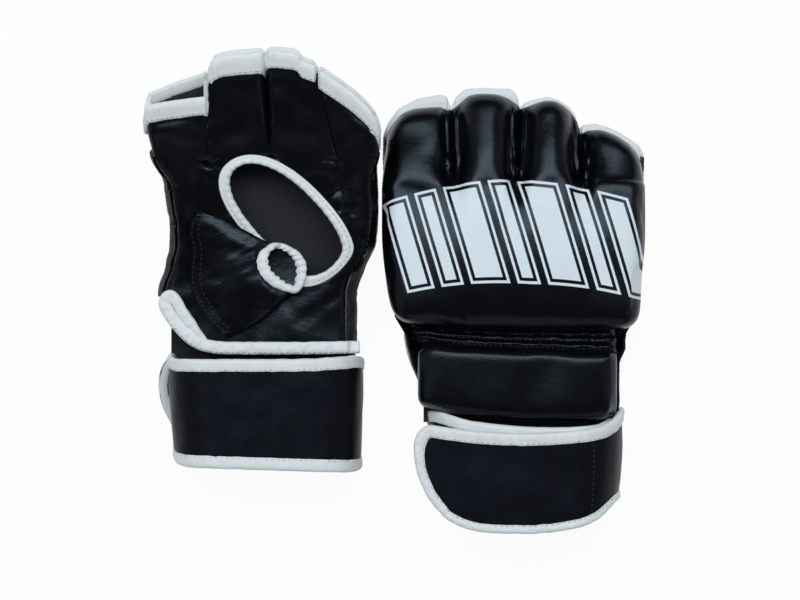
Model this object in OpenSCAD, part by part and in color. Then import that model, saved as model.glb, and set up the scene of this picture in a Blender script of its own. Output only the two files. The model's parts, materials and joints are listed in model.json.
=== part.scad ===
// A pair of open-finger grappling gloves, laid side by side on a flat surface.
// The right glove rests palm down, the left glove rests palm up.
//
// One glove is drawn flat first: X runs across the hand with the thumb side negative, Y runs
// towards the fingertips from the flex seam, Z runs from the palm leather (0) to the back of the
// hand. The function lay() then bends and cups each point the way the soft glove lies, and
// place() puts the whole glove down. Lists of two values hold the right and the left glove.

/* [Back of the hand] */
// Half width of the knuckle pad on the thumb side, right and left glove as they lie
thumb_half = [72, 62]; // [58:1:76]
// Half width of the knuckle pad on the little finger side, right and left glove as they lie
little_half = [73, 60]; // [56:1:77]
// How much narrower each side is at the flex seam than at the knuckles
waist = [12, 7]; // [4:1:14]
// Distance from the flex seam to the finger crotches
crotch_y = 86; // [80:1:92]
// Thickness of the knuckle pad
pad_t = 21; // [17:0.5:23]
// Crown of the knuckle pad in the middle
pad_crown = 2.5; // [0:0.5:4]
// Edge rounding of the pads
pad_round = 8; // [5:0.5:8.5]
// Leather cover over the foam
cover_t = 1.6; // [1:0.1:2.2]

/* [Palm] */
// Thickness of the palm leather with its backing
palm_t = 1.8; // [1.4:0.1:2.4]
// Height of the space for the hand between palm and lining
hand_h = 18; // [15:0.5:22]
// Thickness of the lining under the pads
lining_t = 1.2; // [0.8:0.1:1.6]
// How far the palm leather stays inside the pad's edge
palm_inset = 8; // [6:0.5:11]
// Half length of the palm hole
hole_long = 43.5; // [38:0.5:45]
// Half width of the palm hole
hole_short = 22; // [17:0.5:24]
// Lower edge of the palm leather, below the flex seam
palm_low = 38.5; // [36:0.5:41]

/* [Fingers] */
// Walls between index and middle, middle and ring, ring and little finger
finger_walls = [-32.5, 3, 38.5]; // [-36:0.5:42]
// Reach of each fingertip rim at its thumb side, from index to little finger
tip_near = [121, 139, 137, 123]; // [114:1:144]
// Reach of each fingertip rim at its little finger side
tip_far = [137, 140, 128, 109]; // [104:1:144]
// Leather wall of the finger loops
loop_t = 1.6; // [1.2:0.1:2]
// Length of the binding around each finger opening
rim_len = 6.4; // [5:0.2:8]
// Thickness of the binding around each finger opening
rim_t = 3; // [2.4:0.1:3.4]

/* [Thumb sleeve] */
// Thickness of the folded sleeve
thumb_t = 9.4; // [7:0.5:11]
// Half length of the mouth of the sleeve
mouth_half = 16; // [13:0.5:18]
// Leather wall of the sleeve
sleeve_t = 1.5; // [1:0.1:1.8]

/* [Wrist] */
// Lower edge of the knuckle pad above the flex seam
pad_low = 4; // [3:0.5:6]
// Depth of the flex seam below the knuckle pad
flex_h = 12; // [10:0.5:14]
// Length of the wrist pad
wrist_pad_h = 38.5; // [34:0.5:42]
// Wrist pad, thumb side and little finger side
wrist_pad_x = [-52, 57]; // [-56:0.5:60]
// Height of the strap
strap_h = 59; // [54:1:64]
// Thickness of the strap
strap_t = 3; // [2.4:0.1:3.6]
// Width of the edge binding
bind_w = 6.2; // [5:0.2:8]
// How far the binding stands proud of the leather
bind_proud = 0.6; // [0.3:0.1:0.9]
// Outside of the cuff across the wrist
cuff_x = [-48, 53]; // [-52:0.5:57]
// Thickness of the wrist oval, outside of the cuff
cuff_h = 41.7; // [36:0.5:44]
// Wall of the cuff
cuff_t = 2.2; // [1.6:0.1:2.8]
// Hook patch and loop patch thickness
patch_t = 0.9; // [0.6:0.1:1.2]

/* [As laid down] */
// Bend of the fingers towards the palm, right and left glove
curl = [5, 20]; // [3:0.5:26]
// How far the thumb edge is cupped towards the palm
cup_thumb = [3.5, 12]; // [0:0.5:14]
// How far the little finger edge is cupped towards the palm
cup_little = [4, 12]; // [0:0.5:14]
// Length of the hand after the leather has gathered
gather = [1, 0.96]; // [0.92:0.01:1]
// Sideways drift of the wrist against the hand
wrist_drift = [0, -10]; // [-14:0.5:4]
// Sideways drift of the fingers against the hand
finger_drift = [0, -4]; // [-6:0.5:4]
// Space between the two gloves
pair_gap = 3; // [2:0.5:12]
// Place of each flex seam along the pair
place_y = [-26.4, 6.6]; // [-40:0.1:20]

/* [Hidden] */
SIDES = ["right", "left"];
FINGERS = ["index", "middle", "ring", "little"];
PIECES = ["knuckle_pad", "wrist_pad", "pad_foam", "back_lining", "palm_panel", "palm_hole_binding",
          "side_gussets", "flex_seam", "wrist_cuff", "cuff_binding", "thumb_sleeve", "thumb_binding",
          "strap_band", "strap_band_binding", "loop_patch", "strap_flap", "strap_flap_binding",
          "hook_patch"];
FINGER_PIECES = ["finger_pad", "finger_loop", "finger_rim"];

black = [0.07, 0.07, 0.08];
white = [0.93, 0.93, 0.90];
foam_grey = [0.45, 0.45, 0.48];
knit = [0.13, 0.13, 0.15];

seam = 0.3;              // clearance between sewn soft pieces
fold_gap = bind_proud + seam;    // between the palm leather and the folded thumb sleeve
rest_z = -thumb_t - fold_gap - 0.4;    // lowest level of the right glove
lining_z = palm_t + hand_h;
pad_z = lining_z + lining_t + seam;
neutral_z = pad_z + pad_t / 2;
bend_y = 10;             // the bend starts here and ends at the crotches
widest_y = 60;
wrist_y = -flex_h + pad_low - seam;
strap_y = wrist_y - wrist_pad_h - 2 * seam;
strap_low = strap_y - strap_h;
index_spread = [-1, 4];  // the index and little fingers spread past the pad's edge
little_spread = [0, 2];
pair_w = thumb_half[1] + index_spread[1] + little_half[1] + pair_gap + thumb_half[0] + little_half[0];
place_x = [pair_w / 2 - little_half[0], -pair_w / 2 + thumb_half[1] + index_spread[1] - finger_drift[1]];
hole_c = [9.5, 39];      // middle of the palm hole
hole_slant = 125;        // direction of its length, from the X axis
palm_curve = 30;         // width and start of the curve at the thumb side foot of the palm
palm_curve_y = 8;
arc_n = 4;

function crotch(s) = crotch_y * gather[s];
function stations(s) = [for (share = [0.26, 0.44, 0.63, 0.82]) share * crotch(s)];
function smooth(t) = let (u = max(0, min(1, t))) u * u * (3 - 2 * u);
function mix(a, b, t) = a + (b - a) * t;

// ---- how a flat point of the hand lies ----

function cup(s, x, y) =
    smooth((y + 10) / 50) * (x < 0 ? cup_thumb[s] : cup_little[s]) * pow(x / little_half[0], 2);

function drift(s, y) =
    wrist_drift[s] * (1 - smooth((y - wrist_y) / 30)) + finger_drift[s] * smooth(y / crotch(s));

function lay(s, p) =
    let (z = p.z - cup(s, p.x, p.y),
         x = p.x + drift(s, p.y),
         radius = (crotch(s) - bend_y) * 180 / (PI * curl[s]),
         turn = min(curl[s], (p.y - bend_y) / (crotch(s) - bend_y) * curl[s]),
         past = max(0, p.y - crotch(s)),
         reach = radius + z - neutral_z)
    p.y <= bend_y ? [x, p.y, z] :
    [x, bend_y + reach * sin(turn) + past * cos(curl[s]),
     neutral_z - radius + reach * cos(turn) - past * sin(curl[s])];

// The right glove lies on its folded thumb and strap, the left one on the end of its strap
module place(s) {
    if (s == 0) translate([place_x[s], place_y[s], -rest_z]) children();
    else translate([place_x[s], place_y[s], flap_z + strap_t + bind_proud]) mirror([0, 0, 1]) children();
}

// ---- lofts and sweeps ----

function centre(ring) = [for (k = [0:2]) [for (p = ring) p[k]] * [for (p = ring) 1] / len(ring)];
function skin(m, n) =
    [for (k = [0:m - 2]) for (i = [0:n - 1]) let (j = (i + 1) % n, a = k * n, b = a + n)
     each [[a + i, b + j, b + i], [a + i, a + j, b + j]]];

// Closed solid through rounded rings of equal length, anticlockwise seen from the first one
module loft(rings) {
    n = len(rings[0]);
    m = len(rings);
    points = [for (ring = rings) each ring];
    caps = [for (i = [0:n - 1]) let (j = (i + 1) % n, last = (m - 1) * n)
            each [[j, i, m * n], [last + i, last + j, m * n + 1]]];
    polyhedron(concat(points, [centre(rings[0]), centre(rings[m - 1])]), concat(skin(m, n), caps));
}

// The same for a sheet or channel, whose rings run out along one face and back along the other
module sheet(rings) {
    n = len(rings[0]);
    m = len(rings);
    last = (m - 1) * n;
    caps = [for (i = [0:n / 2 - 2]) let (j = n - 1 - i)
            each [[i, j - 1, i + 1], [i, j, j - 1],
                  [last + i, last + i + 1, last + j - 1], [last + i, last + j - 1, last + j]]];
    polyhedron([for (ring = rings) each ring], concat(skin(m, n), caps));
}

// Closed ring of sections that meets itself
module loop(rings) {
    n = len(rings[0]);
    m = len(rings);
    polyhedron([for (ring = rings) each ring],
        [for (k = [0:m - 1]) for (i = [0:n - 1]) let (j = (i + 1) % n, a = k * n, b = ((k + 1) % m) * n)
         each [[a + i, b + j, b + i], [a + i, a + j, b + j]]]);
}

function arc(cx, cz, r, start, n = arc_n) =
    [for (k = [0:n]) [cx + r * cos(start + 90 * k / n), cz + r * sin(start + 90 * k / n)]];

// Padded section across X and Z, crowned on top, listed anticlockwise
function pad_section(x0, x1, z0, z1, r, crown) =
    let (mid = (x0 + x1) / 2, half = (x1 - x0) / 2, inner = half - r)
    [for (p = concat(arc(x1 - r, z0 + r, r, 270), arc(x1 - r, z1 - r, r, 0),
                     [for (f = [0.5, 0, -0.5]) [mid + f * inner, z1]],
                     arc(x0 + r, z1 - r, r, 90), arc(x0 + r, z0 + r, r, 180),
                     [for (f = [-0.5, 0, 0.5]) [mid + f * inner, z0]]))
     [p.x, p.y + (p.y > (z0 + z1) / 2 ? crown * (1 - pow((p.x - mid) / half, 2)) : 0)]];

function at_y(s, section, y) = [for (p = section) lay(s, [p.x, y, p.y])];

// Oval section of a sewn binding around a point of a path, across dir and Z
function binding_section(s, p, dir, half_w, half_t) =
    [for (a = [0:60:300]) lay(s, p + [dir.x * half_w * cos(a), dir.y * half_w * cos(a), half_t * sin(a)])];

// ---- outlines of the hand ----

function thumb_x(s, y) =
    -thumb_half[s] + waist[0] * pow(max(0, (widest_y - y) / (widest_y - pad_low)), 2);
function little_x(s, y) =
    little_half[s] - waist[1] * pow(max(0, (widest_y - y) / (widest_y - pad_low)), 2);

// ---- knuckle pad, wrist pad and their foam ----

// Both blocks can be inset on all sides, and their flat underside put at another height
function set_foot(section, from, to) = [for (p = section) p.y < from + 0.01 ? [p.x, to] : p];

module knuckle_block(s, inset, foot) {
    soft = 5;
    ys = concat([pad_low + inset, pad_low + soft], stations(s), [crotch(s) - seam / 2 - inset]);
    loft([for (k = [0:len(ys) - 1])
        let (y = max(ys[k], pad_low), tuck = k == 0 ? soft - inset / 2 : 0)
        at_y(s, set_foot(pad_section(thumb_x(s, y) + inset + tuck, little_x(s, y) - inset - tuck,
                                     pad_z + inset, pad_z + pad_t - inset - tuck, pad_round - inset,
                                     pad_crown * smooth((y - pad_low) / 30)),
                         pad_z + inset, foot), ys[k])]);
}

module wrist_block(s, inset, foot) {
    soft = 4;
    top = pad_z + pad_t - 2;
    ys = [wrist_y - wrist_pad_h + inset, wrist_y - wrist_pad_h + soft, wrist_y - soft, wrist_y - inset];
    loft([for (k = [0:3])
        let (tuck = k == 0 || k == 3 ? soft - inset / 2 : 0)
        at_y(s, set_foot(pad_section(wrist_pad_x[0] + inset, wrist_pad_x[1] - inset, pad_z + inset,
                                     top - inset - tuck, pad_round - inset, pad_crown),
                         pad_z + inset, foot), ys[k])]);
}

// The leather covers are open underneath, where the foam lies on the lining
module knuckle_pad(s) {
    color(black) difference() {
        knuckle_block(s, 0, pad_z);
        knuckle_block(s, cover_t, pad_z - 1);
    }
}

module wrist_pad(s) {
    color(black) difference() {
        wrist_block(s, 0, pad_z);
        wrist_block(s, cover_t, pad_z - 1);
    }
}

module pad_foam(s) {
    color(foam_grey) {
        knuckle_block(s, cover_t + seam, pad_z + 2 * seam);
        wrist_block(s, cover_t + seam, pad_z);
    }
}

// Stitched strip in which the glove flexes: ridges between rows of stitches
module flex_seam(s) {
    ridges = 3;
    top = pad_z + pad_t * 0.6;
    dip = 2.4;
    step = (flex_h - 2 * seam) / (2 * ridges);
    low = wrist_y + seam;
    color(black) loft([for (k = [0:2 * ridges])
        at_y(s, pad_section(thumb_x(s, pad_low) + 2, little_x(s, pad_low) - 3,
                            pad_z, top - (k % 2 == 0 ? dip : 0), 4, 0), low + k * step)]);
}

module back_lining(s) {
    ys = concat([strap_y + 2, strap_y / 2, wrist_y, bend_y], stations(s), [crotch(s) - seam]);
    xs = [-1, -0.5, 0, 0.5, 1];
    color(knit) sheet([for (y = ys)
        let (mid = (thumb_x(s, max(y, pad_low)) + little_x(s, max(y, pad_low))) / 2,
             half = (little_x(s, max(y, pad_low)) - thumb_x(s, max(y, pad_low))) / 2 - palm_inset - 3)
        concat([for (f = xs) lay(s, [mid + f * half, y, lining_z])],
               [for (i = [4:-1:0]) lay(s, [mid + xs[i] * half, y, lining_z + lining_t])])]);
}

// ---- palm leather with its hole ----

function palm_thumb_x(s, y) =
    let (t = max(0, -y - palm_curve_y) / (palm_low - palm_curve_y))
    thumb_x(s, max(y, pad_low)) + palm_inset + palm_curve * (1 - sqrt(max(0, 1 - t * t)));
function palm_little_x(s, y) = little_x(s, max(y, pad_low)) - palm_inset;

// Outline of the palm leather, anticlockwise from its lower little finger corner
function palm_outline(s) =
    let (top = crotch(s) - fold_gap,
         side = concat([0], stations(s)),
         across = [0, 0.2, 0.4, 0.6, 0.8, 1],
         down = [0.32, 0.52, 0.7, 0.86, 0.96])
    concat([for (y = concat([-palm_low, -palm_low / 2], side)) [palm_little_x(s, y), y]],
           [for (f = across) [mix(palm_little_x(s, top), palm_thumb_x(s, top), f), top]],
           [for (i = [4:-1:0]) [palm_thumb_x(s, side[i]), side[i]]],
           [for (f = down) [palm_thumb_x(s, -f * palm_low), -f * palm_low]],
           [for (f = [0, 0.3, 0.6]) [mix(palm_thumb_x(s, -palm_low), palm_little_x(s, -palm_low), f),
                                     -palm_low]]);

// Edge of the hole: a slanted, slightly squared oval, widened or narrowed by grow
function hole_point(s, a, grow) =
    let (u = cos(a - hole_slant), v = sin(a - hole_slant),
         r = pow(pow(abs(u) / hole_long, 2.6) + pow(abs(v) / hole_short, 2.6), -1 / 2.6) + grow)
    [hole_c.x + r * cos(a), (hole_c.y + r * sin(a)) * gather[s]];

module palm_panel(s) {
    corners = palm_outline(s);
    n = len(corners);
    outer = [for (i = [0:n - 1]) for (f = [0, 1 / 3, 2 / 3]) mix(corners[i], corners[(i + 1) % n], f)];
    color(black) loop([for (p = outer)
        let (a = atan2(p.y / gather[s] - hole_c.y, p.x - hole_c.x),
             q = hole_point(s, a, bind_w / 2 + 3.6 * seam),
             m = (p + q) / 2)
        [lay(s, [q.x, q.y, 0]), lay(s, [m.x, m.y, 0]), lay(s, [p.x, p.y, 0]),
         lay(s, [p.x, p.y, palm_t]), lay(s, [m.x, m.y, palm_t]), lay(s, [q.x, q.y, palm_t])]]);
}

module palm_hole_binding(s) {
    turns = 32;
    color(white) loop([for (k = [0:turns - 1])
        let (a = 360 * k / turns,
             p = hole_point(s, a, 0),
             ahead = hole_point(s, a + 2, 0) - hole_point(s, a - 2, 0),
             out = [ahead.y, -ahead.x] / norm(ahead))
        binding_section(s, [p.x, p.y, palm_t / 2], out, bind_w / 2, palm_t / 2 + bind_proud)]);
}

// Walls that join the pads to the palm leather, bulging out a little
module side_gussets(s) {
    wall = 1.5;
    bulge = 2.5;
    levels = [palm_t + 2 * seam, (palm_t + pad_z) / 2, pad_z - seam];
    color(black) for (dir = [-1, 1]) {
        ys = concat(dir < 0 ? [-palm_curve_y] : [-palm_low, -palm_low / 2, wrist_y],
                    [bend_y], stations(s), [crotch(s) - 1]);
        sheet([for (y = ys)
            let (low = dir < 0 ? palm_thumb_x(s, y) : palm_little_x(s, y),
                 xs = [low - dir * wall, low + dir * bulge, low - dir * 1],
                 up = [for (i = [0:2]) [xs[i] + max(0, dir) * wall, levels[i]]],
                 down = [for (i = [2:-1:0]) [xs[i] + min(0, dir) * wall, levels[i]]])
            at_y(s, concat(up, down), y)]);
    }
}

// White edge along the foot of the palm leather and up the thumb side
module cuff_binding(s) {
    out = bind_w / 2 + 0.2;
    corner = [palm_thumb_x(s, 0) + palm_curve, -palm_curve_y];
    x1 = palm_little_x(s, -palm_low);
    path = concat([for (f = [1, 0.66, 0.33]) [mix(corner.x, x1, f), -palm_low - out]],
                  [for (a = [0:15:90]) [corner.x - (palm_curve + out) * sin(a),
                                        corner.y - (palm_low - palm_curve_y + out) * cos(a)]]);
    last = len(path) - 1;
    color(white) loft([for (i = [0:last])
        let (p = path[i], ahead = path[min(i + 1, last)] - path[max(i - 1, 0)])
        binding_section(s, [p.x, p.y, palm_t / 2], [ahead.y, -ahead.x] / norm(ahead),
                        bind_w / 2, palm_t / 2 + bind_proud)]);
}

// ---- fingers ----

function finger_x0(s, f) = f == 0 ? -thumb_half[s] - index_spread[s] : finger_walls[f - 1];
function finger_x1(s, f) = f == 3 ? little_half[s] + little_spread[s] : finger_walls[f];

// Reach of a rim at a place across the finger
function tip_y(s, f, x) =
    gather[s] * mix(tip_near[f], tip_far[f], (x - finger_x0(s, f)) / (finger_x1(s, f) - finger_x0(s, f)));

// Section carried to a share t of the way from the crotch to the tip
function finger_ring(s, f, section, t, short) =
    let (root = crotch(s) + seam / 2)
    [for (p = section) lay(s, [p.x, mix(root, tip_y(s, f, p.x) - short, t), p.y])];

module finger_pad(s, f) {
    gap = 0.5;
    drop = [0, 0.4, 1.4, 3.5, 8];
    share = [0, 0.35, 0.68, 0.9, 1];
    color(black) loft([for (k = [0:4])
        finger_ring(s, f, pad_section(finger_x0(s, f) + gap, finger_x1(s, f) - gap, pad_z,
                                      pad_z + pad_t - drop[k], min(pad_round, (pad_t - drop[k]) / 2.2),
                                      1.5), share[k], rim_len + 0.1)]);
}

module finger_loop(s, f) {
    gap = 0.9;
    r = 5;
    x0 = finger_x0(s, f) + gap;
    x1 = finger_x1(s, f) - gap;
    top = pad_z - 0.2;
    outside = [[x0, top], [x0, r], [x0 + r * 0.3, r * 0.3], [x0 + r, 0],
               [x1 - r, 0], [x1 - r * 0.3, r * 0.3], [x1, r], [x1, top]];
    inside = [for (i = [7:-1:0]) let (p = outside[i], m = (x0 + x1) / 2)
              [p.x + (p.x < m ? 1 : -1) * loop_t, p.y >= top ? top : max(p.y, loop_t + p.y * 0.8)]];
    color(black) sheet([for (t = [0, 1])
        finger_ring(s, f, concat(outside, inside), t, rim_len + 0.1)]);
}

// Bound edge around the mouth of a finger opening
module finger_rim(s, f) {
    gap = 0.5;
    x0 = finger_x0(s, f) + gap;
    x1 = finger_x1(s, f) - gap;
    z0 = -bind_proud;
    z1 = pad_z + bind_proud;
    function edge(inset) =
        let (r = 5 - inset / 2, a = x0 + inset, b = x1 - inset, c = z0 + inset, d = z1 - inset)
        concat(arc(b - r, c + r, r, 270, 2), arc(b - r, d - r, r, 0, 2),
               arc(a + r, d - r, r, 90, 2), arc(a + r, c + r, r, 180, 2));
    outer = edge(0);
    inner = edge(rim_t);
    color(white) loop([for (k = [0:len(outer) - 1])
        [for (q = [[inner[k], rim_len], [inner[k], 0], [outer[k], 0], [outer[k], rim_len]])
         lay(s, [q[0].x, tip_y(s, f, q[0].x) - q[1], q[0].y])]]);
}

// ---- thumb sleeve, folded flat across the palm ----

thumb_root = [[-39, 41], [-25, -31]];     // ends of its base seam on the palm
thumb_mouth_c = [9, 4];                   // middle of its mouth
thumb_mouth_dir = [0.36, -0.93];
mouth_slant = 0.15;                       // the layer on the palm side is longer

sleeve_start = (thumb_root[0] + thumb_root[1]) / 2 + [1.2, 0.2];

// Oval across the sleeve at a share t of its length, inset from the outside
function sleeve_ring(s, t, inset) =
    let (root_dir = (thumb_root[1] - thumb_root[0]) / norm(thumb_root[1] - thumb_root[0]),
         root_half = norm(thumb_root[1] - thumb_root[0]) / 2 - 1,
         c = mix(sleeve_start, thumb_mouth_c, t),
         d = mix(root_dir, thumb_mouth_dir, t),
         half = mix(root_half, mouth_half, min(1, t)) - inset,
         along = (thumb_mouth_c - sleeve_start) * mouth_slant * smooth(t),
         thick = mix(sleeve_t, thumb_t, smooth(t * 1.4)) / 2,
         mid = -fold_gap - thick)
    [for (k = [0:11]) let (a = 30 * k, u = cos(a), v = sign(sin(a)) * pow(abs(sin(a)), 0.7),
                           p = c + d * half * u + along * v)
     lay(s, [p.x, p.y * gather[s], mid + (thick - inset) * v])];

module thumb_sleeve(s) {
    color(black) difference() {
        loft([for (t = [0, 0.2, 0.5, 0.8, 1]) sleeve_ring(s, t, 0)]);
        loft([for (t = [0.45, 0.7, 1.1]) sleeve_ring(s, t, sleeve_t)]);
    }
}

module thumb_binding(s) {
    half_t = 0.95;
    half_w = 1.6;
    way = thumb_mouth_c - sleeve_start;
    lean = mouth_slant * norm(way) / (thumb_t / 2);
    out = [way.x, way.y * gather[s], -lean * norm(way)] / (norm(way) * norm([1, lean]));
    reach = (half_w + 1.5 * seam) * norm([1, lean]);
    mouth = sleeve_ring(s, 1 + reach / norm(way), half_t);
    color(white) loop([for (k = [0:11])
        let (ahead = mouth[(k + 1) % 12] - mouth[(k + 11) % 12],
             side = cross(out, ahead / norm(ahead)))
        [for (a = [0:60:300]) mouth[k] + half_t * cos(a) * side - half_w * sin(a) * out]]);
}

// ---- cuff and strap ----

cuff_z = rest_z + bind_proud + strap_t + seam;
band_z = [cuff_z - seam - strap_t, cuff_z + cuff_h + seam + strap_t];
band_x = [cuff_x[0] - seam - strap_t, cuff_x[1] + seam + strap_t];
end_r = (band_z[1] - band_z[0]) / 2;
turn_c = [band_x[1] - end_r, band_z[0] + end_r];    // centre of the turn at the little finger side
flap_z = band_z[1] + 2 * patch_t + seam;
flap_r = flap_z - turn_c.y;
free_x = band_x[0] - 1;
fold_drop = strap_t / 2 + bind_proud + seam;    // the fold line stands this far over the sewn foot

module stadium(x, z) {
    r = (z[1] - z[0]) / 2;
    translate([x[0] + r, z[0] + r]) circle(r, $fn = 48);
    translate([x[1] - r, z[0] + r]) circle(r, $fn = 48);
    translate([x[0] + r, z[0]]) square([x[1] - x[0] - 2 * r, 2 * r]);
}

module around_wrist(s, high, low) {
    translate([wrist_drift[s], high, 0]) rotate([90, 0, 0]) linear_extrude(high - low) children();
}

module tube(grow, wall) {
    x = [cuff_x[0] - grow, cuff_x[1] + grow];
    z = [cuff_z - grow, cuff_z + cuff_h + grow];
    difference() {
        stadium(x, z);
        stadium([x[0] + wall, x[1] - wall], [z[0] + wall, z[1] - wall]);
    }
}

module wrist_cuff(s) {
    slit = 9;
    color(black) difference() {
        around_wrist(s, strap_y, strap_low + 3) tube(0, cuff_t);
        translate([wrist_drift[s] + cuff_x[0] - 1, strap_low, cuff_z + cuff_h / 2 - slit / 2])
            cube([cuff_t + 8, strap_h + 2, slit]);
    }
}

// Foot of the flap, sewn to the band below the line where the flap folds back
module strap_root_2d() {
    spread = 50;
    intersection() {
        polygon(concat([turn_c], [for (a = [-spread:10:10])
            turn_c + mix(end_r, flap_r + strap_t, smooth((a + spread) / spread)) * [cos(a), sin(a)]]));
        translate([turn_c.x, turn_c.y - 2 * end_r - fold_drop]) square(2 * end_r);
        difference() {
            translate(turn_c - [2, 2] * end_r) square(4 * end_r);
            translate(turn_c) circle(end_r - strap_t / 2, $fn = 64);
        }
    }
}

module strap_band(s) {
    color(black) around_wrist(s, strap_y - bind_w, strap_low + bind_w) {
        tube(seam + strap_t, strap_t);
        strap_root_2d();
    }
}

module strap_band_binding(s) {
    lip = seam + strap_t + bind_proud;
    color(white) for (high = [strap_y, strap_low + bind_w - 0.1])
        around_wrist(s, high, high - bind_w + 0.1) intersection() {
            tube(lip, strap_t + bind_proud);
            translate([2 * band_x[0], 2 * band_z[0]]) square([4 * band_x[1], band_z[1] - 2 * band_z[0]]);
        }
}

module loop_patch(s) {
    color(knit) translate([wrist_drift[s] + band_x[0] + end_r, strap_low + bind_w + 2, band_z[1] + 0.05])
        cube([turn_c.x - band_x[0] - end_r, strap_h - 2 * bind_w - 4, patch_t]);
}

// Outline of the flat part of the flap, with round corners at its free end
module flap_outline(inset) {
    near_r = 13 - inset;
    far_r = 22 - inset;
    x0 = free_x + inset;
    y0 = strap_low + inset;
    y1 = strap_y - inset;
    difference() {
        translate([x0, y0]) square([turn_c.x - x0, y1 - y0]);
        translate([x0, y1 - near_r]) square(near_r);
        translate([x0, y0]) square(far_r);
    }
    intersection() {
        translate([x0 + near_r, y1 - near_r]) circle(near_r, $fn = 48);
        translate([x0, y1 - near_r]) square(near_r);
    }
    intersection() {
        translate([x0 + far_r, y0 + far_r]) circle(far_r, $fn = 48);
        translate([x0, y0]) square(far_r);
    }
}

module flap_turn_2d(proud) {
    intersection() {
        difference() {
            translate(turn_c) circle(flap_r + strap_t + proud, $fn = 64);
            translate(turn_c) circle(flap_r, $fn = 64);
        }
        translate(turn_c) square(2 * end_r);
    }
    translate([turn_c.x + flap_r + strap_t / 2, turn_c.y]) circle(strap_t / 2, $fn = 32);
}

module strap_flap(s) {
    color(black) {
        translate([wrist_drift[s], 0, flap_z]) linear_extrude(strap_t) flap_outline(bind_w);
        around_wrist(s, strap_y - bind_w, strap_low + bind_w) flap_turn_2d(0);
    }
}

module strap_flap_binding(s) {
    color(white) {
        translate([wrist_drift[s], 0, flap_z]) linear_extrude(strap_t + bind_proud) difference() {
            flap_outline(0);
            flap_outline(bind_w - 0.05);
            translate([turn_c.x - 1, strap_low + bind_w - 0.05]) square([4, strap_h - 2 * bind_w + 0.1]);
        }
        for (high = [strap_y, strap_low + bind_w - 0.1])
            around_wrist(s, high, high - bind_w + 0.1) flap_turn_2d(bind_proud);
    }
}

module hook_patch(s) {
    back = 3;
    color(knit) translate([wrist_drift[s] + free_x + 22, strap_low + bind_w + back, flap_z - patch_t])
        cube([46, strap_h - 2 * bind_w - 2 * back, patch_t]);
}

// ---- one glove, piece by piece ----

module piece(s, name) {
    place(s) {
        if (name == "knuckle_pad") knuckle_pad(s);
        if (name == "wrist_pad") wrist_pad(s);
        if (name == "pad_foam") pad_foam(s);
        if (name == "back_lining") back_lining(s);
        if (name == "palm_panel") palm_panel(s);
        if (name == "palm_hole_binding") palm_hole_binding(s);
        if (name == "side_gussets") side_gussets(s);
        if (name == "flex_seam") flex_seam(s);
        if (name == "wrist_cuff") wrist_cuff(s);
        if (name == "cuff_binding") cuff_binding(s);
        if (name == "thumb_sleeve") thumb_sleeve(s);
        if (name == "thumb_binding") thumb_binding(s);
        if (name == "strap_band") strap_band(s);
        if (name == "strap_band_binding") strap_band_binding(s);
        if (name == "loop_patch") loop_patch(s);
        if (name == "strap_flap") strap_flap(s);
        if (name == "strap_flap_binding") strap_flap_binding(s);
        if (name == "hook_patch") hook_patch(s);
    }
}

module finger_piece(s, f, name) {
    place(s) {
        if (name == "finger_pad") finger_pad(s, f);
        if (name == "finger_loop") finger_loop(s, f);
        if (name == "finger_rim") finger_rim(s, f);
    }
}

for (s = [0, 1]) {
    for (name = PIECES)
        piece(s, name);
    for (f = [0:3]) for (name = FINGER_PIECES)
        finger_piece(s, f, name);
}
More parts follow.
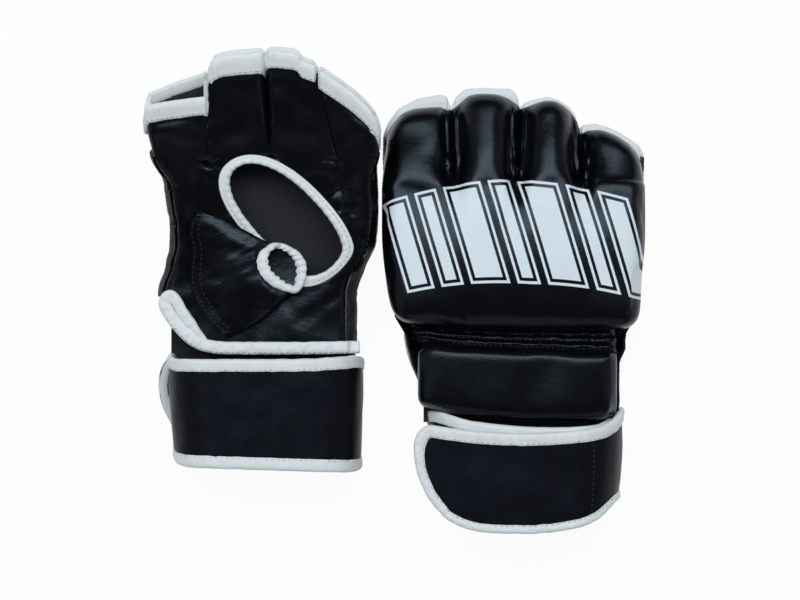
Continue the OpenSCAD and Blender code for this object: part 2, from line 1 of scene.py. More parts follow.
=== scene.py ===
# %% [markdown]
# # A pair of open-finger grappling gloves
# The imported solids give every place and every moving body. This script sews the soft pieces over
# them: padded leather backs, bound finger openings, a palm with a bound hole, a folded thumb
# sleeve and a strap that wraps the wrist. The right glove lies palm down, the left one palm up.
#
# Each piece is drawn once on a flat pattern, as a glove maker cuts it, and laid for both hands.
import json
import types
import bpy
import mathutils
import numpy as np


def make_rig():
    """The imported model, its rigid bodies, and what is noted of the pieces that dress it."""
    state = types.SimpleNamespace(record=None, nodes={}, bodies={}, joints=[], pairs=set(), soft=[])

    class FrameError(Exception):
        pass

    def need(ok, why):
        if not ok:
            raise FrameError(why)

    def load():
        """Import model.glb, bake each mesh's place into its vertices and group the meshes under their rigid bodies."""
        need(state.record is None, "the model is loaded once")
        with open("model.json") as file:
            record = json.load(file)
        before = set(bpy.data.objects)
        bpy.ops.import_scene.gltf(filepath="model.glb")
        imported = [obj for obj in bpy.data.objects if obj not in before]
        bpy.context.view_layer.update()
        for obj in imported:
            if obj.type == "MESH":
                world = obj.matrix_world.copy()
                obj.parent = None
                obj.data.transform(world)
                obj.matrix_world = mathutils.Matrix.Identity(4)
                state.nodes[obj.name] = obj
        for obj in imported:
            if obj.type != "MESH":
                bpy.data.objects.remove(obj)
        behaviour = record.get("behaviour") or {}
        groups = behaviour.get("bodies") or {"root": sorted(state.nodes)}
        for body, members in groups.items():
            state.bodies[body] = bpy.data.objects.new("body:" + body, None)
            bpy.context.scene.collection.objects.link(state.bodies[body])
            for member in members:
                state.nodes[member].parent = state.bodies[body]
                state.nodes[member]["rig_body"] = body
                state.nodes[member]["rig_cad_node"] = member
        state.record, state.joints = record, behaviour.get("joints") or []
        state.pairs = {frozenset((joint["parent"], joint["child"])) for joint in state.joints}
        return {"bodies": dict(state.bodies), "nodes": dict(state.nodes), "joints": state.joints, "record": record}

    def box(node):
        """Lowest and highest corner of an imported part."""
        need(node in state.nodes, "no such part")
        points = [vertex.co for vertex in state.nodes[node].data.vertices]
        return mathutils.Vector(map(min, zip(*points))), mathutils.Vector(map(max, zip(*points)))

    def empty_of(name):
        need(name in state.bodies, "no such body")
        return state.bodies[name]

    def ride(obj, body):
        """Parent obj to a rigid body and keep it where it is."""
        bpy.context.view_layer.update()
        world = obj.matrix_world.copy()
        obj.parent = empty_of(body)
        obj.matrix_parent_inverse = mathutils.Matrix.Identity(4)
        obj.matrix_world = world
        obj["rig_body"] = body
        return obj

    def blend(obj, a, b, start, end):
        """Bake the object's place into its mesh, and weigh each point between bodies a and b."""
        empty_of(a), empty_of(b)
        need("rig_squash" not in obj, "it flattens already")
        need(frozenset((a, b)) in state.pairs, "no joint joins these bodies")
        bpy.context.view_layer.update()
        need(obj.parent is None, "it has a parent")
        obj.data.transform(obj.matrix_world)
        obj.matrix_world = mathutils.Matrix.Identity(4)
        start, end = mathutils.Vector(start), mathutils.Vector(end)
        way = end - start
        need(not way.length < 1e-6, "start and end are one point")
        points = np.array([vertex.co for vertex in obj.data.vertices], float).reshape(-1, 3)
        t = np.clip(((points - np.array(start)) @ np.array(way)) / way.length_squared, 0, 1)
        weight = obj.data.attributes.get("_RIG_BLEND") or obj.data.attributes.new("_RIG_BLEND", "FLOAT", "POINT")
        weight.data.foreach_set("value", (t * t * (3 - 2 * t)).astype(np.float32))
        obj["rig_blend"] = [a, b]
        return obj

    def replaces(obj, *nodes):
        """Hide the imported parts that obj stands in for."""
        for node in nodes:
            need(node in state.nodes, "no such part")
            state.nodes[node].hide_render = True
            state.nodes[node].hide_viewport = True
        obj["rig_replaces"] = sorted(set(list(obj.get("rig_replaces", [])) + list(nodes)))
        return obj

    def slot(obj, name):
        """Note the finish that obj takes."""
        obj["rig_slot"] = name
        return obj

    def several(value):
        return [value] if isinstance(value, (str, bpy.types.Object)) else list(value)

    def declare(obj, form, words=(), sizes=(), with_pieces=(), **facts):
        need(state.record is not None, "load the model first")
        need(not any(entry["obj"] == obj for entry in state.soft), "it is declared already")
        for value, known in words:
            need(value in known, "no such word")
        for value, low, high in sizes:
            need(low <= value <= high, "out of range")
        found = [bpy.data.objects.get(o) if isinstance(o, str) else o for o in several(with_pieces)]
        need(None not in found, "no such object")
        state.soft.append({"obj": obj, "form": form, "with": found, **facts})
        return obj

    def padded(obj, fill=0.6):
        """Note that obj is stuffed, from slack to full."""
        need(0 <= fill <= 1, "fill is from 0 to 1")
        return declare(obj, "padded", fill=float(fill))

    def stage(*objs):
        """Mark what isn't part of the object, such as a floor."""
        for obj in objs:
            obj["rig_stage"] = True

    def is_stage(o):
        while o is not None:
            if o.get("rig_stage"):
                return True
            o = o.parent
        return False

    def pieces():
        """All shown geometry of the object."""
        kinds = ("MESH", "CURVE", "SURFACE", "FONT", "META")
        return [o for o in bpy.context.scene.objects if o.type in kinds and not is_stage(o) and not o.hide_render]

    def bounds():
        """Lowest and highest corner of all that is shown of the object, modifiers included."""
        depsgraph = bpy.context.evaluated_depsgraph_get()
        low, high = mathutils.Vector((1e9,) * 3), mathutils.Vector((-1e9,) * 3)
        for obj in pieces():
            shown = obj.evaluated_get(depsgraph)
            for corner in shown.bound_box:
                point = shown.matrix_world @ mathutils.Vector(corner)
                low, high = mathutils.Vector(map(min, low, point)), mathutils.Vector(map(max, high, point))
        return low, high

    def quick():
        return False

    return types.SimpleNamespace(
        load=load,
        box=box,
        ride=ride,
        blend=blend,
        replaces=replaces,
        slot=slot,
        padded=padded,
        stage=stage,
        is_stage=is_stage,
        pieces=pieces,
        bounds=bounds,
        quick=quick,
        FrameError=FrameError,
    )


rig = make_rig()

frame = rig.load()
solids_low, solids_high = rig.bounds()
print("solids from", tuple(solids_low), "to", tuple(solids_high))

# %% Libraries
import json
import math

import bmesh
import bpy
from mathutils import Matrix, Vector, noise

# %% [markdown]
# ## The pattern
# X runs across the hand with the thumb side negative, Y runs from the flex seam towards the
# fingertips, Z runs from the palm leather, which is 0, to the back of the hand. All are in
# millimetres. The left glove is cupped, so that its pieces show narrower.

# %% Sizes of the pattern
FINGERS = ("index", "middle", "ring", "little")
CROTCH = 86.0
BEND = 10.0
LINING_Z, PAD_Z, PAD_T = 19.8, 21.3, 21.0
NEUTRAL = PAD_Z + PAD_T / 2
WRIST_Y, STRAP_Y, STRAP_LOW = -8.3, -47.4, -106.4
CUFF_X, CUFF_Z, CUFF_H = (-48.0, 53.0), -6.8, 41.7
STRAP_T, STRAP_GAP = 3.0, 0.3
WALL_LEAN, JOINT_LONG = 45, 20
HOLE = Vector((8.8, 40.0))
HOLE_LONG, HOLE_SHORT, HOLE_SLANT, HOLE_FULL = 46.0, 22.6, math.radians(124), 2.15
PALM_LOW, PALM_INSET = 38.5, 8.0
print(f"finger roots {CROTCH - WRIST_Y:.0f} mm past the wrist, strap {STRAP_Y - STRAP_LOW:.0f} mm wide")


# %% Easing, mixing and reading a table
def ease(t):
    t = min(1.0, max(0.0, t))
    return t * t * (3 - 2 * t)


def mix(a, b, t):
    return a + (b - a) * t


def table(points, t):
    """Reads a list of (place, value), straight between its points."""
    if t <= points[0][0]:
        return points[0][1]
    for (a, p), (b, q) in zip(points, points[1:]):
        if t <= b:
            return mix(p, q, (t - a) / (b - a))
    return points[-1][1]


# %% [markdown]
# ## How the flat pattern lies
# A glove on a table isn't flat: the fingers curl towards the palm and both edges of the hand are
# cupped. One rule turns a flat point into a point of the frame, so that every piece of one
# glove bends together and neighbours stay sewn.

# %% A glove and its lay
class Glove:
    def __init__(self, side):
        self.side = side
        s = self.s = ("right", "left").index(side)
        self.thumb_half, self.little_half = (72, 62)[s], (73, 60)[s]
        self.waist = (12, 7)[s]
        self.curl = math.radians((5, 20)[s])
        self.cup_thumb, self.cup_little = (3.5, 12)[s], (4, 12)[s]
        self.gather = (1, 0.96)[s]
        self.wrist_drift, self.finger_drift = (0, -10)[s], (0, -4)[s]
        self.edge_x = ((-71, 73), (-66, 62))[s]
        low, high = (corner * 1000 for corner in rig.box(f"{side}_wrist_cuff"))
        self.up = 1 if s == 0 else -1
        self.shift = Vector((low.x - CUFF_X[0] - self.wrist_drift, high.y - STRAP_Y,
                             low.z - CUFF_Z if s == 0 else high.z + CUFF_Z))

    def lay(self, x, y, z):
        if y > 0:
            y *= self.gather
        half = self.cup_thumb if x < 0 else self.cup_little
        z -= ease((y + 10) / 50) * half * (x / self.little_half) ** 2
        crotch = CROTCH * self.gather
        x += self.wrist_drift * (1 - ease((y - WRIST_Y) / 30)) + self.finger_drift * ease(y / crotch)
        if y > BEND:
            radius = (crotch - BEND) / self.curl
            turn = min(self.curl, (y - BEND) / (crotch - BEND) * self.curl)
            past = max(0, y - crotch)
            reach = radius + z - NEUTRAL
            y = BEND + reach * math.sin(turn) + past * math.cos(self.curl)
            z = NEUTRAL - radius + reach * math.cos(turn) - past * math.sin(self.curl)
        return (Vector((x, y, self.up * z)) + self.shift) / 1000

    def hollow(self, y):
        """How far each side of the hand is drawn in towards the wrist."""
        y *= self.gather if y > 0 else 1
        return self.waist * max(0, (60 - max(y, 4)) / 56) ** 2

    def thumb_x(self, y):
        return -self.thumb_half + self.hollow(y)

    def little_x(self, y):
        return self.little_half - self.hollow(y)

    def wall(self, k, y):
        """Line between two fingers, 0 between index and middle."""
        lean = max(0, min(1, (y - CROTCH) / WALL_LEAN))
        ends = ((-33.8, 4.4, 37.0), (-31.0, -0.5, 28.0))[self.s]
        return mix((-32.4, 2.2, 38.4)[k], ends[k], lean)

    def finger_span(self, f, y):
        a = self.edge_x[0] if f == 0 else self.wall(f - 1, y)
        if f == 0 and self.s:
            a += 4.6 * (1 - ease((y - CROTCH + 4) / 30))
        b = self.edge_x[1] if f == 3 else self.wall(f, y)
        return a, b


gloves = [Glove("right"), Glove("left")]
for glove in gloves:
    print(glove.side, "palm centre at", tuple(round(c, 4) for c in glove.lay(0, 40, 0)))

# %% [markdown]
# ## Three ways to make a piece
# A sheet starts as a flat grid whose points move to where the pattern says. Joined along one
# side it is a tube, and joined along both it is a ring. That one helper makes the leather,
# the bindings and the straps. The flat place of each point is kept in a UV map, so that
# prints, ribs and grain follow the piece when it bends.

# %% The sheet helper
def sheet(nu, nv, place, close_u=False, close_v=False, mark=None):
    """A grid of nu by nv faces, with u and v from 0 to 1, its points at place(u, v)."""
    bm = bmesh.new()
    bmesh.ops.create_grid(bm, x_segments=nu, y_segments=nv, size=0.5)
    uv = bm.loops.layers.uv.new("pattern")
    spots = {v: (v.co.x + 0.5, v.co.y + 0.5) for v in bm.verts}
    for v, (a, b) in spots.items():
        v.co = place(a % 1.0 if close_u and a > 0.9999 else a, b % 1.0 if close_v and b > 0.9999 else b)
    for face in bm.faces:
        for loop in face.loops:
            a, b = spots[loop.vert]
            loop[uv].uv = mark(a, b) if mark else loop.vert.co.xy / 1000
    if close_u or close_v:
        bmesh.ops.remove_doubles(bm, verts=bm.verts, dist=1e-4)
    return bm


# %% Meshes and objects
def new_object(name, bm):
    mesh = bpy.data.meshes.new(name)
    bm.to_mesh(mesh)
    piece = bpy.data.objects.new(name, mesh)
    bpy.context.scene.collection.objects.link(piece)
    return piece


def made_final(piece):
    """The mesh of an object with its modifiers applied."""
    bpy.context.view_layer.update()
    graph = bpy.context.evaluated_depsgraph_get()
    return bpy.data.meshes.new_from_object(piece.evaluated_get(graph))


def pour(source, target):
    """Adds one flat mesh to another and frees it."""
    spare = bpy.data.meshes.new("spare")
    source.to_mesh(spare)
    source.free()
    target.from_mesh(spare)
    bpy.data.meshes.remove(spare)


# %% From the flat pattern to a finished piece
def finish_piece(bm, glove, name, finish, slot, body, replaces, thick=0.0, inside=None, levels=0,
                 facing=None, padded=None, blend=None, offset=-1.0):
    """Lays a flat mesh for its glove and gives it its finish, its body and its CAD nodes.

    Names come without their side. The faces point away from the middle of the piece, or with
    facing +1 or -1 to the back or the palm of the hand."""
    name, body = f"{glove.side}_{name}", f"{glove.side}_{body}"
    replaces = [f"{glove.side}_{node}" for node in replaces.split()]
    for v in bm.verts:
        v.co = glove.lay(*v.co)
    bmesh.ops.recalc_face_normals(bm, faces=bm.faces)
    middle = sum((v.co for v in bm.verts), Vector()) / len(bm.verts)
    if facing:
        outward = sum(f.normal.z * f.calc_area() for f in bm.faces) * glove.up * facing
    else:
        outward = sum((f.calc_center_median() - middle).dot(f.normal) * f.calc_area() for f in bm.faces)
    if outward < 0:
        bmesh.ops.reverse_faces(bm, faces=bm.faces)
    piece = new_object(name, bm)
    bm.free()
    mesh = piece.data
    mesh.shade_smooth()
    mesh.materials.append(finish)
    if inside:
        mesh.materials.append(inside)
    if thick:
        wall = piece.modifiers.new("thickness", "SOLIDIFY")
        wall.thickness, wall.offset = thick / 1000, offset
        wall.use_quality_normals = True
        if inside:
            wall.material_offset, wall.material_offset_rim = 1, 0
    if levels:
        soft = piece.modifiers.new("softness", "SUBSURF")
        soft.levels = soft.render_levels = levels
    if blend or (thick and not levels):
        done = made_final(piece)
        piece.modifiers.clear()
        piece.data = done
        done.set_sharp_from_angle(angle=math.radians(50))
    if blend:
        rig.blend(piece, f"{glove.side}_hand", body, *blend)
    else:
        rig.ride(piece, body)
    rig.replaces(piece, *replaces)
    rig.slot(piece, slot)
    if padded is not None:
        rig.padded(piece, fill=padded)
    print(f"{name}: {len(piece.data.polygons)} faces")


# %% A smooth path through a few points
class Path:
    def __init__(self, points, closed=False, steps=12):
        p = [Vector(q) for q in points]
        n = len(p)
        pick = (lambda i: p[i % n]) if closed else (lambda i: p[max(0, min(n - 1, i))])
        self.points = []
        for i in range(n if closed else n - 1):
            a, b, c, d = pick(i - 1), pick(i), pick(i + 1), pick(i + 2)
            for k in range(steps):
                t = k / steps
                self.points.append(0.5 * (2 * b + (c - a) * t + (2 * a - 5 * b + 4 * c - d) * t * t
                                          + (3 * b - 3 * c + d - a) * t ** 3))
        self.points.append(p[0] if closed else p[-1])
        self.closed = closed
        self.lengths = [0.0]
        for a, b in zip(self.points, self.points[1:]):
            self.lengths.append(self.lengths[-1] + (b - a).length)
        self.length = self.lengths[-1]

    def at(self, t):
        """Point and direction at a share t of the length."""
        want = (t % 1.0 if self.closed else min(1, max(0, t))) * self.length
        low, high = 0, len(self.lengths) - 1
        while high - low > 1:
            middle = (low + high) // 2
            low, high = (middle, high) if self.lengths[middle] <= want else (low, middle)
        a, b = self.points[low], self.points[high]
        share = (want - self.lengths[low]) / max(1e-9, self.lengths[high] - self.lengths[low])
        return a.lerp(b, share), (b - a).normalized()


# %% Reading paths and profiles
def height_at(points, x):
    """Y of a row of points at a place across the hand."""
    for a, b in zip(points, points[1:]):
        if a.x <= x <= b.x:
            return mix(a.y, b.y, (x - a.x) / max(1e-9, b.x - a.x))
    return points[0].y if x < points[0].x else points[-1].y


def flat_path(points, **how):
    return Path([(x, y, 0) for x, y in points], **how)


def ripple(x, y, size, seed):
    """Smooth unevenness from -1 to 1, the same on every run."""
    return noise.noise(Vector((x / size, y / size, seed)))


def taken(rows, v):
    """Entry of a list at a share v of its length."""
    return rows[round(v * (len(rows) - 1))]


def picked(profile, v):
    """Point of a closed profile at a share v of its round."""
    return profile[round(v * len(profile)) % len(profile)]

# %% [markdown]
# ## Finishes
# A finish is a node graph. Its sums are easier to read as sums, so one small class wraps an
# output of a node: adding or multiplying two of them places the Math node that does it.
# Everything that stays the same over a piece is set on the shader itself.

# %% Sums of nodes
class Wire:
    def __init__(self, graph, socket):
        self.graph, self.socket = graph, socket

    def sum_with(self, kind, other=None, flip=False, clamp=False):
        values = [self] if other is None else [other, self] if flip else [self, other]
        return self.graph.node("ShaderNodeMath", {"operation": kind, "use_clamp": clamp}, *values)

    def __add__(self, other): return self.sum_with("ADD", other)
    def __radd__(self, other): return self.sum_with("ADD", other, True)
    def __sub__(self, other): return self.sum_with("SUBTRACT", other)
    def __rsub__(self, other): return self.sum_with("SUBTRACT", other, True)
    def __mul__(self, other): return self.sum_with("MULTIPLY", other)
    def __rmul__(self, other): return self.sum_with("MULTIPLY", other, True)
    def __truediv__(self, other): return self.sum_with("DIVIDE", other)
    def __rtruediv__(self, other): return self.sum_with("DIVIDE", other, True)
    def __abs__(self): return self.sum_with("ABSOLUTE")
    def largest(self, other): return self.sum_with("MAXIMUM", other)
    def smallest(self, other): return self.sum_with("MINIMUM", other)
    def above(self, other): return self.sum_with("GREATER_THAN", other)
    def wave(self): return self.sum_with("SINE")
    def clamped(self): return self.sum_with("ADD", 0.0, clamp=True)


# %% A finish
class Finish:
    def __init__(self, name):
        self.material = bpy.data.materials.new(name)
        self.material.use_nodes = True
        self.tree = self.material.node_tree
        self.shader = self.tree.nodes["Principled BSDF"]

    def node(self, kind, settings, *values, out=0, **named):
        made = self.tree.nodes.new(kind)
        for key, value in settings.items():
            setattr(made, key, value)
        for socket, value in list(zip(made.inputs, values)) + [
                (made.inputs[key.replace("_", " ")], value) for key, value in named.items()]:
            self.put(socket, value)
        return Wire(self, made.outputs[out])

    def put(self, socket, value):
        if isinstance(value, Wire):
            self.tree.links.new(value.socket, socket)
        elif isinstance(value, tuple) and len(value) == 3 and socket.type == "RGBA":
            socket.default_value = (*value, 1)
        else:
            socket.default_value = value

    def set(self, **values):
        for key, value in values.items():
            self.put(self.shader.inputs[key.replace("_", " ")], value)

    def place(self):
        """Object coordinates, in millimetres."""
        spot = self.node("ShaderNodeTexCoord", {}, out="Object")
        return self.node("ShaderNodeMapping", {}, spot, Scale=(1000.0,) * 3)

    def pattern(self):
        """The two directions of the flat pattern, in millimetres."""
        spot = self.node("ShaderNodeUVMap", {"uv_map": "pattern"})
        split = self.tree.nodes.new("ShaderNodeSeparateXYZ")
        self.tree.links.new(spot.socket, split.inputs[0])
        return Wire(self, split.outputs[0]) * 1000.0, Wire(self, split.outputs[1]) * 1000.0

    def flat(self, x, y):
        return self.node("ShaderNodeCombineXYZ", {}, x, y)

    def noise(self, spot, size, detail=3.0, rough=0.55):
        return self.node("ShaderNodeTexNoise", {}, Vector=spot, Scale=1 / size, Detail=detail,
                         Roughness=rough)

    def cells(self, spot, size):
        return self.node("ShaderNodeTexVoronoi", {}, Vector=spot, Scale=1 / size)

    def steps(self, value, low, high, a=0.0, b=1.0):
        return self.node("ShaderNodeMapRange", {"interpolation_type": "SMOOTHSTEP"}, value, low, high, a, b)

    def blend(self, share, a, b):
        made = self.tree.nodes.new("ShaderNodeMix")
        made.data_type = "RGBA"
        for socket, value in ((made.inputs[0], share), (made.inputs[6], a), (made.inputs[7], b)):
            self.put(socket, value)
        return Wire(self, made.outputs[2])

    def relief(self, *heights):
        """Bumps of (height from 0 to 1, depth in mm), one on the other."""
        normal = None
        for height, depth in heights:
            made = self.tree.nodes.new("ShaderNodeBump")
            made.inputs["Strength"].default_value = 1.0
            made.inputs["Distance"].default_value = depth / 1000
            self.put(made.inputs["Height"], height)
            if normal:
                self.put(made.inputs["Normal"], normal)
            normal = Wire(self, made.outputs[0])
        self.put(self.shader.inputs["Normal"], normal)


# %% [markdown]
# ### Black leather
# The backs, the palm and the straps are a coated split leather: almost black, with a soft gloss
# from the coating, a fine pebble grain and slow unevenness where it was stretched. The grain is
# a Voronoi pattern under a little noise, and the gloss varies with both.

# %% Leather
BLACK = (0.0030, 0.0031, 0.0046)


def leather_base(name, gloss=0.235, tone=BLACK, shine=0.24):
    """The grain and gloss of black leather, and its colour for a print to lie on."""
    f = Finish(name)
    spot = f.place()
    pebbles = f.cells(spot, 0.75)
    fine = f.noise(spot, 0.35, 2.0)
    slow = f.noise(spot, 14.0, 3.0)
    scuffs = f.noise(f.node("ShaderNodeMapping", {}, spot, Scale=(1.0, 0.35, 1.0)), 5.0, 6.0, 0.7)
    f.set(Roughness=(gloss - 0.05) + slow * 0.10 + pebbles * 0.05 + f.steps(scuffs, 0.55, 0.8) * 0.06,
          Specular_IOR_Level=shine, Specular_Tint=(0.66, 0.83, 1.0))
    f.relief((pebbles * -1.0 + fine * 0.4, 0.05), (f.noise(spot, 3.2, 4.0), 0.10))
    dark = tuple(c * 0.72 for c in tone)
    return f, f.blend(f.steps(slow, 0.3, 0.75), dark, tone)


def plain_leather(name, **look):
    f, colour = leather_base(name, **look)
    f.set(Base_Color=colour)
    return f.material


# %% [markdown]
# ### Print on the back
# Screen-printed ink lies on the knuckle leather in a broad arched band of slanted bars with a
# thin outline. The bars come from a distance to their edges: below zero is ink, a thin step
# further out is the outline. A colour ramp holds the distance across the bars, since their
# widths differ. The ink is a pale cool white in which the grain of the leather shows.

# %% Printed leather
BARS = (9.0, 6.0, 15.0, 6.0, 15.0, 6.0, 9.0)
BAR_GAP, BAR_SLANT = 10.5, 0.30
BAND_Y, BAND_HALF, BAND_ARCH, BAND_SIDE = 59.0, 25.0, 0.0021, 73.5
OUTLINE_AT = 2.55
RAMP_SPAN = 40.0


def printed_leather(name, half_width):
    f, colour = leather_base(name)
    x, y = f.pattern()
    stretch = half_width / 72.0
    slanted = x / stretch + (y - 60.0) * BAR_SLANT
    total = sum(BARS) + BAR_GAP * (len(BARS) + 1)
    ramp = f.tree.nodes.new("ShaderNodeValToRGB")
    at, stops = -total / 2, []
    for width in (*BARS, None):
        stops.append((at + BAR_GAP / 2, BAR_GAP / 2))
        at += BAR_GAP
        if width:
            stops.append((at + width / 2, -width / 2))
            at += width
    elements = ramp.color_ramp.elements
    while len(elements) < len(stops):
        elements.new(0.5)
    for element, (place, distance) in zip(elements, stops):
        element.position = (place + total / 2) / total
        element.color = (*(((distance + RAMP_SPAN / 2) / RAMP_SPAN,) * 3), 1)
    f.put(ramp.inputs[0], slanted / total + 0.5)
    across = Wire(f, ramp.outputs[0]) * RAMP_SPAN - RAMP_SPAN / 2
    bent = y + (x / stretch) * (x / stretch) * BAND_ARCH
    along = abs(bent - BAND_Y) - BAND_HALF + abs(slanted) * 0.03
    far = across.largest(along)
    grain = f.noise(f.flat(x, y), 0.55, 3.0, 0.7)
    ink = f.steps(far, 0.15, -0.15).largest(f.steps(abs(far - OUTLINE_AT), 0.85, 0.6))
    beside = f.steps(abs(x / stretch), BAND_SIDE, 72.0)
    worn = f.steps(grain + f.noise(f.flat(x, y), 6.0, 4.0) * 0.3, 0.42, 0.50)
    ink = ink * beside
    pale = f.blend(f.noise(f.flat(x, y), 11.0), (0.62, 0.71, 0.78), (0.74, 0.80, 0.84))
    f.set(Base_Color=f.blend(ink * (0.86 + worn * 0.14), colour, pale),
          Roughness=ink * 0.24 + 0.21 + f.noise(f.flat(x, y), 9.0) * 0.08)
    return f.material


# %% [markdown]
# ### White binding, threads, knit and tape
# The binding is a soft vinyl tape in a warm grey that varies at random, with painted shade that
# darkens it a little along its folds. The lining is a ribbed knit, the patches are loop and hook pile.

# %% Binding
def binding_vinyl(name, tone, grey_and_fold_shade):
    f = Finish(name)
    spot = f.place()
    fine, slow = f.noise(spot, 0.5, 3.0), f.noise(spot, 7.0, 4.0)
    folds = f.noise(spot, 2.6, 4.0, 0.6)
    # Painted shade: the second colour, a warm grey, follows the fold relief as well as slow random unevenness.
    f.set(Base_Color=f.blend(f.steps(slow + (folds - 0.5) * 0.4, 0.56, 0.95), tone, grey_and_fold_shade),
          Roughness=0.40 + slow * 0.15, Specular_IOR_Level=0.45)
    f.relief((fine, 0.05), (folds, 0.22))
    return f.material


# %% Thread
def thread(name, tone):
    f = Finish(name)
    spot = f.place()
    twist = f.node("ShaderNodeTexWave", {"wave_type": "BANDS", "bands_direction": "DIAGONAL"},
                   Vector=spot, Scale=1.6, Distortion=0.6)
    f.set(Base_Color=f.blend(twist, tuple(c * 0.8 for c in tone), tone), Roughness=0.62)
    f.relief((twist, 0.12))
    return f.material


# %% Knit, pile and elastic
def ribbed_knit(name, tone):
    rib, row = 1.5, 1.1
    f = Finish(name)
    x, y = f.pattern()
    lean = x + y * 0.12
    ribs = (lean * (2 * math.pi / rib)).wave() * 0.5 + 0.5
    rows = (y * (2 * math.pi / row) + ribs * 2.0).wave() * 0.5 + 0.5
    fuzz = f.noise(f.flat(x, y), 0.7, 4.0, 0.7)
    dark = tuple(c * 0.35 for c in tone)
    f.set(Base_Color=f.blend((ribs * 0.7 + fuzz * 0.5).clamped(), dark, tone), Roughness=0.86,
          Sheen_Weight=0.08, Sheen_Roughness=0.5)
    f.relief((ribs, 0.45), (rows, 0.16), (fuzz, 0.12))
    return f.material


def pile_tape(name, tone, loop):
    f = Finish(name)
    spot = f.place()
    loops, fuzz = f.cells(spot, loop), f.noise(spot, loop * 0.7, 4.0, 0.75)
    f.set(Base_Color=f.blend(fuzz, tuple(c * 0.4 for c in tone), tone), Roughness=0.9, Sheen_Weight=0.3)
    f.relief((loops, 0.5), (fuzz, 0.35))
    return f.material


def woven_elastic(name, tone):
    weft_pitch, warp_pitch = 1.3, 2.4
    f = Finish(name)
    x, y = f.pattern()
    weft = (y * (2 * math.pi / weft_pitch)).wave() * 0.5 + 0.5
    warp = (x * (2 * math.pi / warp_pitch) + (weft.above(0.5)) * math.pi).wave() * 0.5 + 0.5
    f.set(Base_Color=f.blend((weft * 0.6 + warp * 0.4).clamped(), tuple(c * 0.45 for c in tone), tone),
          Roughness=0.8)
    f.relief((weft, 0.3), (warp, 0.2))
    return f.material


# %% Every finish of the pair
LEATHER = plain_leather("leather_palm")
STRAP_LEATHER = plain_leather("leather_strap", gloss=0.34, tone=(0.0034, 0.0036, 0.0062), shine=0.12)
SIDE_LEATHER = plain_leather("leather_side", gloss=0.42, shine=0.06)
PRINTED = {g.side: printed_leather(f"leather_back_{g.side}", g.thumb_half) for g in gloves}
# The second colour is a warm grey that varies at random and paints shade along the tape's folds.
BINDING = binding_vinyl("binding_vinyl", (0.70, 0.735, 0.745), (0.58, 0.58, 0.53))
WHITE_THREAD = thread("thread_white", (0.52, 0.53, 0.50))
BLACK_THREAD = thread("thread_black", (0.018, 0.018, 0.022))
KNIT = ribbed_knit("knit_lining", (0.015, 0.017, 0.028))
ELASTIC = woven_elastic("woven_elastic", (0.02, 0.02, 0.024))
LOOP = pile_tape("loop_tape", (0.016, 0.016, 0.018), 0.9)
HOOK = pile_tape("hook_tape", (0.022, 0.022, 0.024), 1.3)
print("finishes:", len(bpy.data.materials))

# %% [markdown]
# ## Stitches
# A row of stitches is the same small shape many times: a rounded grain of thread, laid along
# the seam and sunk half into it. It has only a few faces, since a pair of gloves has
# thousands of them. Rows that move together are kept in one piece.

# %% Sewing
class Sewing:
    def __init__(self, glove, name, thread_finish, body):
        self.glove, self.name, self.finish, self.body = glove, name, thread_finish, body
        self.bm = bmesh.new()
        self.count = 0

    def row(self, spots, pitch, length, width, sink):
        """Stitches along (point, outward) pairs in the flat pattern."""
        laid = [self.glove.lay(*p) for p, _ in spots]
        tops = [self.glove.lay(*(p + n)) for p, n in spots]
        run = 0.0
        for k in range(len(laid) - 1):
            step = (laid[k + 1] - laid[k]).length * 1000
            while run < step:
                t = run / max(step, 1e-9)
                here = laid[k].lerp(laid[k + 1], t)
                along = (laid[k + 1] - laid[k]).normalized()
                up = (tops[k] - laid[k]).lerp(tops[k + 1] - laid[k + 1], t)
                side = along.cross(up).normalized()
                up = side.cross(along)
                turn = Matrix((along, side, up)).transposed().to_4x4()
                size = Matrix.Diagonal((length / 2000, width / 2000, width / 2400, 1))
                bmesh.ops.create_uvsphere(self.bm, u_segments=6, v_segments=4, radius=1.0,
                                          matrix=Matrix.Translation(here - up * sink / 1000) @ turn @ size)
                self.count += 1
                run += pitch
            run -= step

    def finish_rows(self, slot):
        piece = new_object(self.name, self.bm)
        self.bm.free()
        piece.data.shade_smooth()
        piece.data.materials.append(self.finish)
        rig.ride(piece, self.body)
        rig.slot(piece, slot)
        print(f"{self.name}: {self.count} stitches")


# %% Sewing kits
sewing = {}


def stitch(glove, where, colour, spot, count, pitch, length=2.1, width=0.5, sink=0.0):
    """Sews a row through count spots; spot(t) is a point and its outward for t from 0 to 1."""
    key = (glove.side, where, colour)
    if key not in sewing:
        body = f"{glove.side}_{where}"
        finish = WHITE_THREAD if colour == "white" else BLACK_THREAD
        sewing[key] = Sewing(glove, f"{body}_{colour}_stitches", finish, body)
    sewing[key].row([spot(k / (count - 1)) for k in range(count)], pitch, length, width, sink)


# %% [markdown]
# ## The padded back
# One skin of leather covers the foam from the flex seam to the fingertips. Between the fingers
# it sinks into deep folds, where the leather is gathered into narrow ridges. It is one shaped
# grid, so that the folds run from the fingers into the hand without a break. The cloth solver
# then pushes it out against its seams, and it is cut into a hand part and four fingers.

